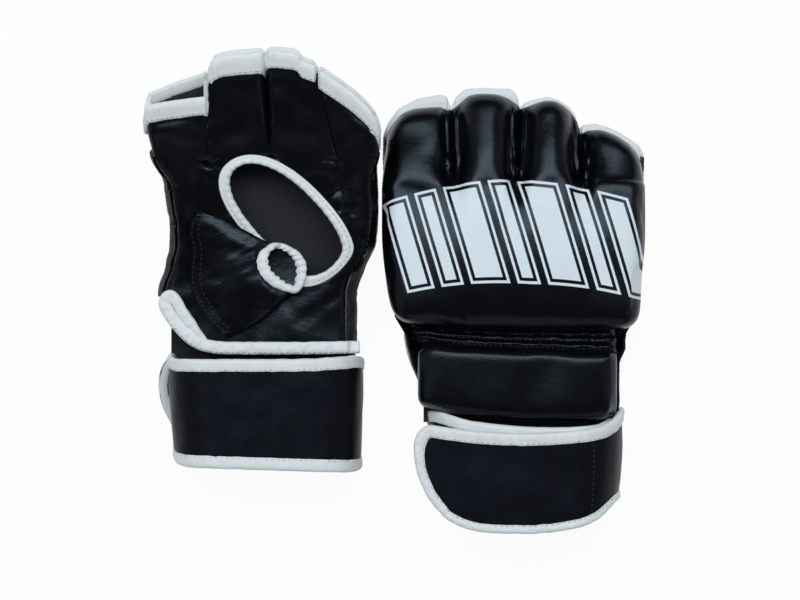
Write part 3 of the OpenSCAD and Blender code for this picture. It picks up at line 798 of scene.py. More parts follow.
# %% Lines and folds of the back
NOSE = (((0, 116), (0.10, 122), (0.24, 127), (0.42, 129.3), (0.8, 130.2), (1, 127.5)),
        ((0, 128), (0.1, 131), (0.26, 136.6), (0.45, 137.6), (0.68, 137), (0.84, 134.6), (1, 130)),
        ((0, 128.5), (0.18, 131), (0.42, 133.8), (0.62, 133.4), (0.8, 129.5), (0.92, 124.5), (1, 119)),
        ((0, 114.5), (0.12, 117), (0.36, 117.6), (0.62, 114.2), (0.82, 109.6), (0.94, 105), (1, 100)))
RIM = (((0, 117.5), (0.05, 121), (0.22, 129.6), (0.5, 135), (0.82, 137.2), (0.93, 136.4), (1, 132)),
       ((0, 132), (0.08, 136.5), (0.2, 140.2), (0.5, 140.8), (0.86, 140.3), (0.95, 137.8), (1, 132.5)),
       ((0, 131.5), (0.25, 134.4), (0.46, 136), (0.65, 134.4), (0.84, 130.2), (0.93, 126), (1, 120.5)),
       ((0, 120), (0.24, 121), (0.42, 119.5), (0.62, 116.4), (0.8, 112.3), (0.92, 109.4), (1, 106)))
PALM_RIM = (((0, 115), (0.06, 118), (0.5, 119), (0.95, 119.7), (1, 118)),
            ((0, 138.2), (0.08, 141.4), (0.22, 143.2), (0.5, 144.2), (0.9, 145.0), (1, 144.8)),
            ((0, 145.6), (0.2, 145.8), (0.52, 145.0), (0.6, 144.0), (0.67, 140.6), (0.8, 139.2), (1, 137.2)),
            ((0, 135.6), (0.22, 130.8), (0.4, 127), (0.57, 122.9), (0.74, 118), (0.88, 113), (0.95, 110),
             (1, 106.5)))
LEAF = ((0, 115), (0.05, 118.6), (0.5, 123.6), (0.95, 128), (1, 125))
VALLEY = ((0, 16), (0.8, 13.5), (1.8, 11.6), (2.8, 11.8), (4.0, 12.4), (5.2, 9.6), (6.8, 6.0),
          (8.6, 3.6), (11, 1.8), (14, 0.6), (18, 0))
FOLDS = ((0, ((-6.0, 128), (-6.4, 112), (-6.0, 101), (-3.0, 99.5), (-1.4, 97), (-3.4, 93.5)), 1.0, 3.4),
         (0, ((1.9, 128), (1.6, 112), (2.6, 100)), 0.7, 1.8),
         (1, ((-3.6, 130), (-3.2, 112), (-1.6, 99), (-0.4, 93)), 1.2, 3.6),
         (1, ((2.0, 128), (2.2, 112), (1.4, 98), (2.4, 91)), 0.8, 2.4),
         (2, ((3.6, 116), (5.2, 108), (3.2, 98), (2.0, 90)), 1.0, 3.0),
         (2, ((-1.6, 114), (-2.2, 104), (-1.2, 95)), 0.8, 1.8),
         (2, ((0.2, 100), (1.6, 94), (0.4, 88)), 0.7, 1.6))


# %% Edges of the back
def rounding(e, r):
    """How far a rounded edge of radius r has dropped at a distance e from its end."""
    return 0.0 if e >= r else r * (1 - math.sqrt(max(0.0, 1 - (1 - max(0.0, e) / r) ** 2)))


def rim_line(glove, f, share, back):
    """How far the bound edge of a finger reaches, on the back or on the palm side."""
    if glove.s == 0:
        return table(RIM[f], share) - (0 if back else 8 if f == 0 else 2)
    if back:
        return table(LEAF, share) if f == 0 else table(PALM_RIM[f], share) - 4
    return table(PALM_RIM[f], share)


def nose_line(glove, f, share):
    return min(table(NOSE[f], share), rim_line(glove, f, share, True) - (0.5 if glove.s == 0 else 4.5))


def back_low(x):
    """Lower edge of the knuckle leather."""
    return 6.2 - 0.02 * x - 0.8 * math.cos(x / 23)


def edge_left(glove, y):
    hollow = glove.s * 5.5 * ease((y - 8) / 34) * (1 - ease((y - 62) / 26))
    full = (1 - glove.s) * 1.6 * math.exp(-((y - 18) / 14) ** 2)
    corner = rounding(y - back_low(-60) - 0.4, 9) * (0.8, 0.2)[glove.s]
    return glove.thumb_x(y) + 3.3 * ease((y - 80) / 42) + hollow + corner - full


def edge_right(glove, y):
    corner = rounding(y - back_low(60) - 0.4, 9) * (0.7, 0.2)[glove.s]
    full = (5.8, 0)[glove.s] * (1 - ease((y - 4) / 36))
    return glove.little_x(y) - 2.4 * ease((y - 80) / 30) - corner + full


# %% Heights of the back
def back_height(glove, x, y, nose):
    left, right = edge_left(glove, y), edge_right(glove, y)
    middle = 2 * (x - left) / (right - left) - 1
    low = back_low(x)
    top = PAD_T + 2.5 * ease((y - low) / 34) * (1 - middle * middle)
    drop = rounding(x - left, 9) + rounding(right - x, 9) + rounding(y - low, 8) * 1.15
    for k in range(3):
        wall = glove.wall(k, y)
        deep = ease((y - 71) / 25)
        reach = 0.55 + 0.45 * ease((y - 76) / 24)
        drop += deep * table(VALLEY, abs(x - wall) / reach)
        drop += 1.3 * ease((y - 58) / 16) * (1 - deep) * math.exp(-((x - wall) / 7) ** 2)
    top -= 6.0 * ease((y - nose + 52) / 50) ** 1.6
    height = max(0.6, top - drop)
    for k, path, width, tall in FOLDS:
        spot = Vector((x - glove.wall(k, y), y))
        if y > 86 and abs(spot.x) < 11:
            near = min((spot - closest(Vector(a), Vector(b), spot)).length for a, b in zip(path, path[1:]))
            height += tall * math.exp(-(near / width) ** 2) * ease((y - 86) / 8)
    e = max(0.0, nose - y)
    if e < 9:
        height *= math.sqrt(max(0.0, 1 - (1 - e / 9) ** 2))
    height += 0.3 * ripple(x, y, 19, glove.s) + 0.08 * ripple(x, y, 6, 3)
    return PAD_Z + max(0.8, height)


def closest(a, b, p):
    d = b - a
    return a + d * max(0.0, min(1.0, (p - a).dot(d) / max(1e-9, d.length_squared)))


# %% Columns and rows of the back
SHARES = (0, .022, .05, .085, .12, .155, .19, .24, .31, .4, .5, .6, .69, .76, .81, .845, .88, .915, .95, .978)
COLUMNS = [(f, share) for f in range(4) for share in SHARES] + [(3, 1.0)]
HAND_ROWS = [0, .012, .03, .055, .085, .12, .17, .23, .3, .37, .44, .51, .58, .64, .69, .74, .78, .82,
             .86, .89, .92, .95, .975, 1]
TIP_ROWS = [.04, .09, .14, .2, .26, .32, .38, .44, .5, .56, .62, .68, .74, .79, .835, .87, .9, .925,
            .95, .97, .985, 1]
NO_NOSE = 200.0
print("grid of the back:", len(COLUMNS), "columns and", len(HAND_ROWS) + len(TIP_ROWS), "rows")


def back_point(glove, column, row):
    f, share = COLUMNS[column]
    a, b = glove.finger_span(f, CROTCH)
    crotch_left, crotch_right = edge_left(glove, CROTCH), edge_right(glove, CROTCH)
    if f == 0: a = crotch_left
    if f == 3: b = crotch_right
    across = (mix(a, b, share) - crotch_left) / (crotch_right - crotch_left)
    if row < len(HAND_ROWS):
        x = mix(glove.thumb_x(40), glove.little_x(40), across)
        y = mix(back_low(x), CROTCH, HAND_ROWS[row])
        x = mix(edge_left(glove, y), edge_right(glove, y), across)
        return x, y, NO_NOSE
    share_y = TIP_ROWS[row - len(HAND_ROWS)]
    nose = nose_line(glove, f, share)
    y = mix(CROTCH, nose, share_y)
    a, b = glove.finger_span(f, y)
    if f == 0: a = edge_left(glove, y)
    if f == 3: b = edge_right(glove, y)
    return mix(a, b, share), y, nose


def make_back(glove):
    columns, rows = len(COLUMNS) - 1, len(HAND_ROWS) + len(TIP_ROWS) - 1

    def place(u, v):
        x, y, nose = back_point(glove, round(u * columns), round(v * rows))
        return Vector((x, y, back_height(glove, x, y, nose)))

    return sheet(columns, rows, place)

# %% [markdown]
# ## Letting the padding settle
# Foam presses the leather out while the seams hold it. The cloth solver does that in a few
# frames: the points on seams are pinned, gravity is off and a light pressure pushes. No point
# may move more than about a millimetre, so the glove keeps its size. Gravity isn't what shapes
# a stuffed back, and with it the skin would hang below its seams.

# %% The cloth solver
SETTLE_FRAMES = 14


def settle(bm, pinned, pressure=1.2, cap=1.4, calm=5):
    """Moves the free points of a flat mesh in millimetres the way padded leather settles."""
    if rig.quick():
        return
    for v in bm.verts:
        v.co /= 1000
    trial = new_object("settling", bm)
    for v in bm.verts:
        v.co *= 1000
    group = trial.vertex_groups.new(name="seams")
    bm.verts.index_update()
    group.add([v.index for v in bm.verts if pinned(v)], 1.0, "REPLACE")
    cloth = trial.modifiers.new("cloth", "CLOTH")
    s = cloth.settings
    s.quality, s.mass, s.air_damping = 6, 0.25, 3.0
    s.tension_stiffness = s.compression_stiffness = s.shear_stiffness = 12.0
    s.bending_stiffness = 6.0
    s.effector_weights.gravity = 0.0
    s.use_pressure, s.uniform_pressure_force = True, pressure
    s.vertex_group_mass = "seams"
    s.shrink_min = -0.01
    cloth.collision_settings.use_collision = False
    cloth.collision_settings.use_self_collision = False
    scene = bpy.context.scene
    for number in range(1, SETTLE_FRAMES + 1):
        scene.frame_set(number)
    moved = trial.evaluated_get(bpy.context.evaluated_depsgraph_get()).data
    far = 0.0
    for v in bm.verts:
        step = Vector(moved.vertices[v.index].co) * 1000 - v.co
        if step.length > cap:
            step *= cap / step.length
        far = max(far, step.length)
        v.co += step
    for _ in range(calm):
        bmesh.ops.smooth_vert(bm, verts=[v for v in bm.verts if not pinned(v)], factor=0.5,
                              use_axis_x=False, use_axis_y=False, use_axis_z=True)
    scene.frame_set(1)
    mesh = trial.data
    bpy.data.objects.remove(trial)
    bpy.data.meshes.remove(mesh)
    print(f"  settled {len(bm.verts)} points, the furthest by {far:.2f} mm")


# %% Refine and part a mesh
def refine(bm):
    """One smooth subdivision, made final."""
    trial = new_object("refine", bm)
    mesh = trial.data
    soft = trial.modifiers.new("softness", "SUBSURF")
    soft.levels = soft.render_levels = 1
    done = made_final(trial)
    bm.clear()
    bm.from_mesh(done)
    bpy.data.objects.remove(trial)
    for spare in (mesh, done):
        bpy.data.meshes.remove(spare)
    return bm


def part_of(bm, keep):
    """A copy of the faces for which keep(face) is true."""
    made = bm.copy()
    gone = [f for f in made.faces if not keep(f)]
    bmesh.ops.delete(made, geom=gone, context="FACES")
    return made


def drop_edge(bm, chosen, z, inward=0.0):
    """Extrudes border edges down to height z, and inward from both sides."""
    edges = [e for e in bm.edges if e.is_boundary and chosen(e)]
    grown = bmesh.ops.extrude_edge_only(bm, edges=edges)["geom"]
    for v in (g for g in grown if isinstance(g, bmesh.types.BMVert)):
        v.co.z = z
        v.co.x += inward if v.co.x < 0 else -inward


# %% Cut the back into a hand part and four fingers
LIP, LIP_DROP = 0.9, 0.03
for glove in gloves:
    back = make_back(glove)

    def on_seam(v):
        x, y = v.co.x, v.co.y
        return v.is_boundary or y < back_low(x) + 1.5 or (
            y > 84 and min(abs(x - glove.wall(k, y)) for k in range(3)) < 7.5) or (
            y > 84 and v.co.z < PAD_Z + 12)

    settle(back, on_seam)
    refine(back)
    uv = back.loops.layers.uv["pattern"]

    def centre_of(face):
        return sum((loop[uv].uv for loop in face.loops), Vector((0, 0))) * 1000 / len(face.loops)

    back.faces.index_update()
    place_of = {f.index: centre_of(f) for f in back.faces}
    side = glove.side
    hand = part_of(back, lambda f: place_of[f.index].y < CROTCH + LIP)
    for v in hand.verts:
        if v.co.y > CROTCH + 0.3:
            v.co.z -= LIP_DROP

    def at_side(edge):
        return min(abs(v.co.x) for v in edge.verts) > 58 and max(v.co.z for v in edge.verts) < PAD_Z + 14

    drop_edge(hand, lambda e: max(v.co.y for v in e.verts) < CROTCH - 0.5 or at_side(e), PAD_Z, 0.6)
    finish_piece(hand, glove, "back_leather", PRINTED[side], "leather", "hand",
                 "knuckle_pad pad_foam", padded=0.9, facing=1)
    for f, finger in enumerate(FINGERS):
        low = -75 if f == 0 else glove.wall(f - 1, 110)
        high = 75 if f == 3 else glove.wall(f, 110)
        middle = (low + high) / 2

        def mine(face):
            spot = place_of[face.index]
            a = -999 if f == 0 else glove.wall(f - 1, spot.y)
            b = 999 if f == 3 else glove.wall(f, spot.y)
            return spot.y >= CROTCH - LIP and a < spot.x < b

        tip = part_of(back, mine)
        for v in tip.verts:
            beside = min(abs(v.co.x - glove.wall(k, v.co.y)) for k in range(3)) < 2
            if v.co.y < CROTCH - 0.3:
                v.co.z -= LIP_DROP
            elif v.is_boundary and v.co.y > CROTCH + 0.6 and beside:
                v.co.x += -0.12 if v.co.x < middle else 0.12
        drop_edge(tip, lambda e: max(v.co.y for v in e.verts) > CROTCH + 0.6, PAD_Z + 0.3)
        root = glove.lay(middle, CROTCH, NEUTRAL)
        finish_piece(tip, glove, f"{finger}_back", PRINTED[side], "leather", f"{finger}_finger",
                     f"{finger}_finger_pad", padded=0.9, facing=1,
                     blend=(root, glove.lay(middle, CROTCH + JOINT_LONG, NEUTRAL)))
    back.free()

# %% [markdown]
# ## Wrist cushion and flex seam
# A second, flatter cushion guards the wrist. Between the two pads the leather is quilted by
# rows of stitches and creases each time the hand bends, so it gets ridges across and small
# crumples along them.

# %% Lines around the wrist
def ridge_line(x):
    """Upper edge of the wrist cushion."""
    return -3.6 - 0.045 * x + 2.4 * math.exp(-((x + 52) / 14) ** 2)


def wrist_side(glove, y):
    """Both sides of the wrist cushion; the left one is squeezed towards its foot."""
    top = rounding(ridge_line(0) - y, 4)
    squeeze = glove.s * (1.5 + 9.0 * ease((-10 - y) / 28))
    return (-52.5 + top + rounding(y - foot_line(-50), 7) + squeeze,
            57.5 - top - rounding(y - foot_line(55) - 1, 5) - 2.5 * glove.s)


def foot_line(x):
    """Lower edge of the wrist cushion."""
    return -44.6 - 0.055 * x + 3.4 * max(0.0, -x / 48) ** 4 + 2.0 * max(0.0, x / 58) ** 3


BAND_OVER = flat_path(((-60, -33.5), (-52, -36.2), (-45, -39), (-27, -43.7), (-8.7, -46), (9.5, -47.4),
                       (27.7, -47.6), (46, -46.4), (55, -43.4), (60, -39)))


def band_top(glove, x):
    """Upper edge of the strap's first turn, on the back of the wrist."""
    if glove.s == 0:
        return height_at(BAND_OVER.points, x)
    return -47.9 + (9.5 * abs(x / 52) ** 3 if x < 0 else 3 * (x / 60) ** 3)


def inside_band(x):
    """Height of the strap's inside where it turns at the little finger side."""
    return 14.0 + math.sqrt(max(0.0, 20.5 ** 2 - max(0.0, x - 32.15) ** 2))


# %% Heights of the wrist cushion
def wrist_height(glove, x, y):
    left, right = wrist_side(glove, y)
    top = 17.6 + 1.6 * (1 - (x / 56) ** 2)
    top -= rounding(x - left, 9) + rounding(right - x, 8)
    top = mix(top, min(top, inside_band(x) - PAD_Z - 0.8), ease((band_top(glove, x) + 5 - y) / 5))
    top -= rounding(ridge_line(x) - y, 4.5) * 1.6 + rounding(y - foot_line(x), 5) * 1.4
    top += 0.7 * math.exp(-((ridge_line(x) - y - 4.2) / 2.2) ** 2)
    top -= 0.5 * math.exp(-((x - 52.5) / 1.1) ** 2)
    return PAD_Z + max(0.5, top + 0.12 * ripple(x, y, 15, 5 + glove.s))


# %% Wrist cushion
WRIST_COLUMNS = [0, .01, .03, .055, .085, .12] + [.12 + .76 * k / 24 for k in range(1, 25)]
WRIST_COLUMNS += [.905, .93, .94, .95, .96, .975, .99, 1]
WRIST_ROWS = [0, .02, .05, .09, .14, .22, .32, .42, .52, .62, .71, .78, .83, .88, .92, .955, .98, 1]


def make_wrist(glove):
    def place(u, v):
        share = taken(WRIST_COLUMNS, u)
        x = mix(-52.5, 57.5, share)
        y = mix(foot_line(x), ridge_line(x), taken(WRIST_ROWS, v))
        x = mix(*wrist_side(glove, y), share)
        return Vector((x, y, wrist_height(glove, x, y)))
    return sheet(len(WRIST_COLUMNS) - 1, len(WRIST_ROWS) - 1, place)


for glove in gloves:
    wrist = make_wrist(glove)
    settle(wrist, lambda v: v.is_boundary or abs(v.co.x - 52.5) < 0.8, 0.6, cap=0.8, calm=8)
    drop_edge(wrist, lambda e: True, PAD_Z + 0.2, 0.5)
    finish_piece(refine(wrist), glove, "wrist_cushion", LEATHER, "leather", "hand",
                 "wrist_pad", padded=0.85, facing=1)


# %% Flex seam
def flex_side(glove, t):
    a, b = wrist_side(glove, -12)
    return mix(a - 0.5, glove.thumb_x(4) + 3.0, ease(t)), mix(b + 0.5, glove.little_x(4) - 3.5, ease(t))


def flex_height(glove, x, y):
    low, high = ridge_line(x) - 2.5, back_low(x) + 2.5
    t = (y - low) / (high - low)
    z = PAD_Z + 8.4 + 1.3 * math.sin(t * math.pi * 5.0 + 0.35 * ripple(x, 0, 9, 2))
    z += 1.2 * ripple(x, y * 2.5, 4.2, 7) * ease(1 - abs(t - 0.5) * 1.4) + 0.6 * ripple(x, y, 1.9, 8)
    left, right = flex_side(glove, t)
    return z - rounding(x - left, 6) - rounding(right - x, 6)


for glove in gloves:
    def place(u, v):
        x = mix(*flex_side(glove, v), u)
        y = mix(ridge_line(x) - 2.5, back_low(x) + 2.5, v)
        return Vector((x, y, flex_height(glove, x, y)))
    flex = sheet(110, 20, place)
    drop_edge(flex, lambda e: True, PAD_Z + 0.1)
    finish_piece(flex, glove, "flex_fold", LEATHER, "leather", "hand",
                 "flex_seam", levels=1, facing=1)
    for share in (0.2, 0.46, 0.74):
        def spot(t):
            x = mix(glove.thumb_x(4) + 5, glove.little_x(4) - 6, t)
            y = mix(ridge_line(x) - 2.5, back_low(x) + 2.5, share)
            return Vector((x, y, flex_height(glove, x, y) + 0.1)), Vector((0, 0, 1))

        stitch(glove, "hand", "black", spot, 60, pitch=2.9, width=0.6)

# %% [markdown]
# ## Finger openings
# Each finger of the glove is a short leather tube under its pad, lined with knit and bound at
# the mouth with white tape. The tube starts square where it grows out of the palm and gets
# rounder towards its mouth. It crosses the joint of its finger, so it is blended over it.
# The tape is one closed ring: a profile swept around the mouth, dipping at the side walls.

# %% Section and mouth of a finger
def box_path(x0, x1, z0, z1, left_r, right_r, high_r):
    """Rounded section of a finger; the radius differs between its two palm corners."""
    points = []
    for cx, cz, r, start in ((x1 - right_r, z0 + right_r, right_r, 270),
                             (x1 - high_r, z1 - high_r, high_r, 0),
                             (x0 + high_r, z1 - high_r, high_r, 90), (x0 + left_r, z0 + left_r, left_r, 180)):
        for k in range(4):
            a = math.radians(start + 30 * k)
            points.append((cx + r * math.cos(a), cz + r * math.sin(a)))
    return Path([(x, 0, z) for x, z in points], closed=True, steps=4)


def mouth_y(glove, f, x, z):
    a, b = glove.finger_span(f, CROTCH + 40)
    share = max(0.0, min(1.0, (x - a) / (b - a)))
    up = ease((z + 0.6) / 22.5)
    return mix(rim_line(glove, f, share, False), rim_line(glove, f, share, True), up) - 32 * up * (1 - up)


# %% Finger tubes
for glove in gloves:
    side = glove.side
    for f, finger in enumerate(FINGERS):
        rows = {}
        long = mouth_y(glove, f, sum(glove.finger_span(f, CROTCH + 20)) / 2, 11) - 4 - CROTCH

        def span_of(v):
            return glove.finger_span(f, CROTCH + long * v)

        def place(u, v):
            if v not in rows:
                a, b = span_of(v)
                outer, tight = mix(5.0, 6.5, v), mix(1.7, 2.2, v)
                loose = mix(2.0, 5.2, ease(v * 2.0))
                left_r, right_r = (outer, tight, loose, tight)[f], (tight, loose, tight, outer)[f]
                rows[v] = box_path(a + 0.05, b - 0.05, 0, PAD_Z - 0.2, left_r, right_r, 2.5)
            p, way = rows[v].at(u)
            y = mix(CROTCH, mouth_y(glove, f, p.x, p.z) - 4, v)
            out = Vector((way.z, 0, -way.x))
            palm = max(0.0, -out.z) ** 3
            a, b = span_of(v)
            share = (p.x - a) / (b - a)
            a, b = glove.finger_span(f, y)
            p = Vector((mix(a, b, share), p.y, p.z))
            crease = 0.8 * ripple(p.x, y, 12, 11 + f) + 0.25 * ripple(p.x, y * 2, 5, 12)
            crease += math.sin(math.pi * max(0.0, min(1.0, (p.x - a) / (b - a))))
            under = 1 - ease((mouth_y(glove, f, p.x, p.z) - y - (11.5 if glove.s else 9.5)) / 4)
            crease *= palm * ease((y - CROTCH - 1) / 12) * (1 - under)
            return Vector((p.x, y, p.z)) + out * (crease - 0.5 * under)

        tube = sheet(72, 16, place, close_u=True)
        a, b = glove.finger_span(f, CROTCH)
        middle = (a + b) / 2
        finish_piece(tube, glove, f"{finger}_leather", LEATHER, "leather", f"{finger}_finger",
                     f"{finger}_finger_loop", thick=0.9, inside=KNIT,
                     blend=(glove.lay(middle, CROTCH, NEUTRAL),
                            glove.lay(middle, CROTCH + JOINT_LONG, NEUTRAL)))

# %% Bound mouths of the fingers
FINGER_TAPE = ((1.0, -1.0), (0.95, 0.1), (0.85, 0.3), (0.72, 0.32), (0.5, 0.75), (0.28, 0.8), (0.1, 0.35),
               (0.01, -0.6), (0.0, -1.6), (0.03, -2.5), (0.12, -3.1), (0.4, -3.3), (0.85, -3.0), (0.92, -2.2))


def tape_long(glove, f, z):
    """How wide the tape is, on the palm side and on the back."""
    return mix((11, 13, 10.5, 12)[f] if glove.s else 11.0, 8.5, ease((z + 0.6) / 22.5))


for glove in gloves:
    side = glove.side
    for f, finger in enumerate(FINGERS):
        a, b = glove.finger_span(f, CROTCH + WALL_LEAN)
        left_r, right_r = 6.0 if f == 0 else 3.2, 6.0 if f == 3 else 3.2
        mouth = box_path(a + 0.2, b - 0.2, -0.6, PAD_Z + 0.6, left_r, right_r, 4.0)

        def place(u, v):
            p, way = mouth.at(u)
            out = Vector((way.z, 0, -way.x))
            back, lift = picked(FINGER_TAPE, v)
            lift += 0.28 * ripple(u * 40, back * 3, 1, 20 + f) + 0.14 * ripple(u * 110, back * 3, 1, 30 + f)
            wander = 0.35 * ripple(u * 14, 0, 1.0, 40 + f) * (1 if back > 0.5 else 0.4)
            y = mouth_y(glove, f, p.x, p.z) - back * tape_long(glove, f, p.z) + wander
            return Vector((p.x, y, p.z)) + out * lift

        edge = sheet(108, len(FINGER_TAPE), place, close_u=True, close_v=True)
        finish_piece(edge, glove, f"{finger}_edge", BINDING, "binding", f"{finger}_finger",
                     f"{finger}_finger_rim", levels=1)

        def spot(t):
            p, way = mouth.at(t)
            out = Vector((way.z, 0, -way.x))
            y = mouth_y(glove, f, p.x, p.z) - 0.84 * tape_long(glove, f, p.z)
            return Vector((p.x, y, p.z)) + out * 0.42, out

        stitch(glove, f"{finger}_finger", "white", spot, 145, pitch=2.9, length=2.0)

# %% [markdown]
# ## Palm
# The palm is one piece of leather from the foot to the finger roots, with a slanted oval hole
# that shows the knit lining. The grid runs in rings from the hole to the outline. Where the
# finger partings are tacked down, the leather is pinched into small stars of folds.

# %% Outline of the palm leather
PINCHES = ((-33, 78, 3.2), (2.7, 82, 3.2), (38.5, 60, 2.6), (37.5, 82, 2.2))
PALM_FOLDS = (((-9, 116), (-1, 82), 0.9, 1.5), ((39, 80), (38.4, 46), 0.9, 1.3),
              ((-33, 84), (-40, 62), 0.7, 1.4), ((38.5, 60), (46, 44), 0.6, 1.5),
              ((2.7, 82), (10, 72), 0.5, 1.2), ((-33, 78), (-24, 70), 0.5, 1.3),
              ((-52, 8), (-40, -6), 0.8, 2.2), ((-50, -2), (-36, -16), 0.7, 2.0),
              ((46, -8), (22, -24), 0.5, 2.4))


def palm_left(glove, y):
    t = max(0, -y - 8) / (PALM_LOW - 8)
    base = glove.thumb_x(max(y, 4)) + PALM_INSET - 3.6 * glove.s + 30 * (1 - math.sqrt(max(0, 1 - t * t)))
    base += 4.6 * glove.s * ease((y - 8) / 34) * (1 - ease((y - 60) / 28))
    return mix(base, glove.finger_span(0, CROTCH)[0] + 0.3, ease((y - 60) / 30) ** 1.5)


def palm_right(glove, y):
    base = glove.little_x(max(y, 4)) - PALM_INSET + 4.5 * glove.s
    return mix(base, glove.finger_span(3, CROTCH)[1] - 0.3, ease((y - 60) / 30) ** 1.5)


def palm_outline(glove):
    points = [(palm_right(glove, y), y) for y in (-PALM_LOW, -26, -12, 2, 16, 30, 44, 56, 66, 76, CROTCH)]
    left, right = palm_left(glove, CROTCH), palm_right(glove, CROTCH)
    points += [(mix(right, left, k / 14), CROTCH) for k in range(1, 14)]
    points += [(palm_left(glove, y), y) for y in (CROTCH, 76, 66, 56, 44, 30, 16, 2, -9, -18, -26, -32, -36)]
    left, right = palm_left(glove, -PALM_LOW), palm_right(glove, -PALM_LOW)
    points += [(mix(left, right, k / 9), -PALM_LOW) for k in range(9)]
    return points


# %% Hole and folds of the palm
def hole_point(a, grow):
    u, v = math.cos(a - HOLE_SLANT), math.sin(a - HOLE_SLANT)
    r = (abs(u / HOLE_LONG) ** HOLE_FULL + abs(v / HOLE_SHORT) ** HOLE_FULL) ** (-1 / HOLE_FULL) + grow
    return HOLE + Vector((r * math.cos(a), r * math.sin(a)))


def palm_height(glove, x, y):
    z = (0.9 * ripple(x, y, 17, 50) + 0.35 * ripple(x, y, 6, 51)) * (1 - ease((y - 76) / 9))
    for px, py, deep in PINCHES:
        p = Vector((x - px, y - py))
        away = p.length
        star = 0.5 + 0.5 * math.cos(6 * math.atan2(p.y, p.x) + px)
        z += deep * math.exp(-(away / 1.8) ** 2) + 0.5 * deep * star * math.exp(-(away / 5.5) ** 2)
    for a, b, deep, wide in PALM_FOLDS:
        p = Vector((x, y))
        near = (p - closest(Vector(a), Vector(b), p)).length
        z += deep * math.exp(-(near / wide) ** 2) - 0.5 * deep * math.exp(-((near - 2.2 * wide) / wide) ** 2)
    z *= 1 - ease((y - 80) / 5)
    for k in range(3):
        z += 0.9 * ease((y - 80) / 6) * math.exp(-((x - glove.wall(k, y)) / 1.0) ** 2)
    return z


print(f"hole of the palm: {2 * HOLE_LONG:.0f} by {2 * HOLE_SHORT:.0f} mm")

# %% Palm leather
RINGS = [0, .035, .08, .14, .21, .28, .36, .44, .52, .6, .68, .75, .81, .86, .90, .93, .955, .975, .99, 1]
TURNS = 180


def outline_point(outline, a):
    """Where a ray from the middle of the hole leaves the outline."""
    way, best = Vector((math.cos(a), math.sin(a))), 0
    for p, q in zip(outline, outline[1:] + outline[:1]):
        p, q = Vector(p) - HOLE, Vector(q) - HOLE
        edge = q - p
        cross = way.x * edge.y - way.y * edge.x
        if abs(cross) > 1e-9:
            far = (p.x * edge.y - p.y * edge.x) / cross
            along = (p.x * way.y - p.y * way.x) / cross
            if far > 0 and -1e-6 <= along <= 1 + 1e-6:
                best = max(best, far)
    return HOLE + way * best


for glove in gloves:
    outline = palm_outline(glove)
    ends = [outline_point(outline, 2 * math.pi * k / TURNS) for k in range(TURNS)]

    def place(u, v):
        k = round(u * TURNS) % TURNS
        share = taken(RINGS, v)
        p = hole_point(2 * math.pi * k / TURNS, 2.2).lerp(ends[k], share)
        e = min(abs(p.x - palm_left(glove, p.y)), abs(palm_right(glove, p.y) - p.x))
        z = palm_height(glove, p.x, p.y) * ease(share / 0.08) + rounding(e, 5.5) * 0.85
        return Vector((p.x, p.y, z))

    palm = sheet(TURNS, len(RINGS) - 1, place, close_u=True)
    finish_piece(palm, glove, "palm_leather", LEATHER, "leather", "hand",
                 "palm_panel", thick=1.5, inside=KNIT, facing=-1)

# %% Bound hole of the palm
HEM = ((3.2, 0.9), (3.3, -0.2), (2.7, -0.75), (1.5, -0.85), (0.8, -0.95), (0.1, -1.35), (-1.1, -1.6),
       (-2.3, -1.2), (-3.0, 0.0), (-2.9, 1.4), (-1.8, 2.4), (0.0, 2.6), (2.0, 2.4))
puffs = Path([hole_point(2 * math.pi * k / 90, 0).to_3d() for k in range(90)], closed=True, steps=2)
count = round(puffs.length / 5.4)
print(f"edge of the hole: {puffs.length:.0f} mm around, {count} puffs")


def hem_place(u, v):
    p, way = puffs.at(u)
    out = Vector((way.y, -way.x, 0))
    a, b = picked(HEM, v)
    inner = ease((1.0 - a) / 2.5)
    beat = 0.5 + 0.5 * math.cos(2 * math.pi * count * u + 1.6 * ripple(u * 30, 0, 1, 60))
    swell = 1 + inner * (0.26 * beat - 0.13 + 0.16 * ripple(u * 46, a, 1.4, 61))
    side = inner * (0.42 * beat + 0.5 * ripple(u * 20, 1, 1.0, 62))
    lift = -0.35 * ease((p.y - 40) / 40)
    return Vector((p.x, p.y, b * swell + lift)) + out * (a - side * 0.6)


def hem_spot(t):
    p, way = puffs.at(t)
    return p + Vector((way.y, -way.x, 0)) * 1.15 + Vector((0, 0, -1.0)), Vector((0, 0, -1))


for glove in gloves:
    hem = sheet(count * 8, len(HEM), hem_place, close_u=True, close_v=True)
    finish_piece(hem, glove, "palm_binding", BINDING, "binding", "hand", "palm_hole_binding", levels=1)
    stitch(glove, "hand", "white", hem_spot, 201, pitch=3.0, sink=0.05)

# %% Knit lining
for glove in gloves:
    def place(u, v):
        y = mix(STRAP_Y + 2, CROTCH, v)
        a, b = palm_left(glove, max(y, -8)) + 3, palm_right(glove, y) - 3
        x = mix(a, b, u)
        sag = 1.8 * math.sin(math.pi * u) * ease((y + 40) / 60)
        return Vector((x, y, LINING_Z - sag + 0.7 * ripple(x, y, 22, 70)))
    knit = sheet(48, 56, place)
    finish_piece(knit, glove, "knit", KNIT, "lining", "hand",
                 "back_lining", thick=1.2, offset=0.0, facing=-1)

# %% Side gussets
THUMB_WRIST = ((-25, -51.5), (-20, -53.6), (-12, -56.8), (-2, -59.4), (6, -60.4))


def gusset_foot(glove, sign, y):
    """Where a gusset ends beside the wrist, on the thumb side with sign -1."""
    if sign < 0:
        return -53.8 if glove.s else table(THUMB_WRIST, y)
    return 56.0 if glove.s else mix(63.5, 60, ease((-y - 4) / 10))


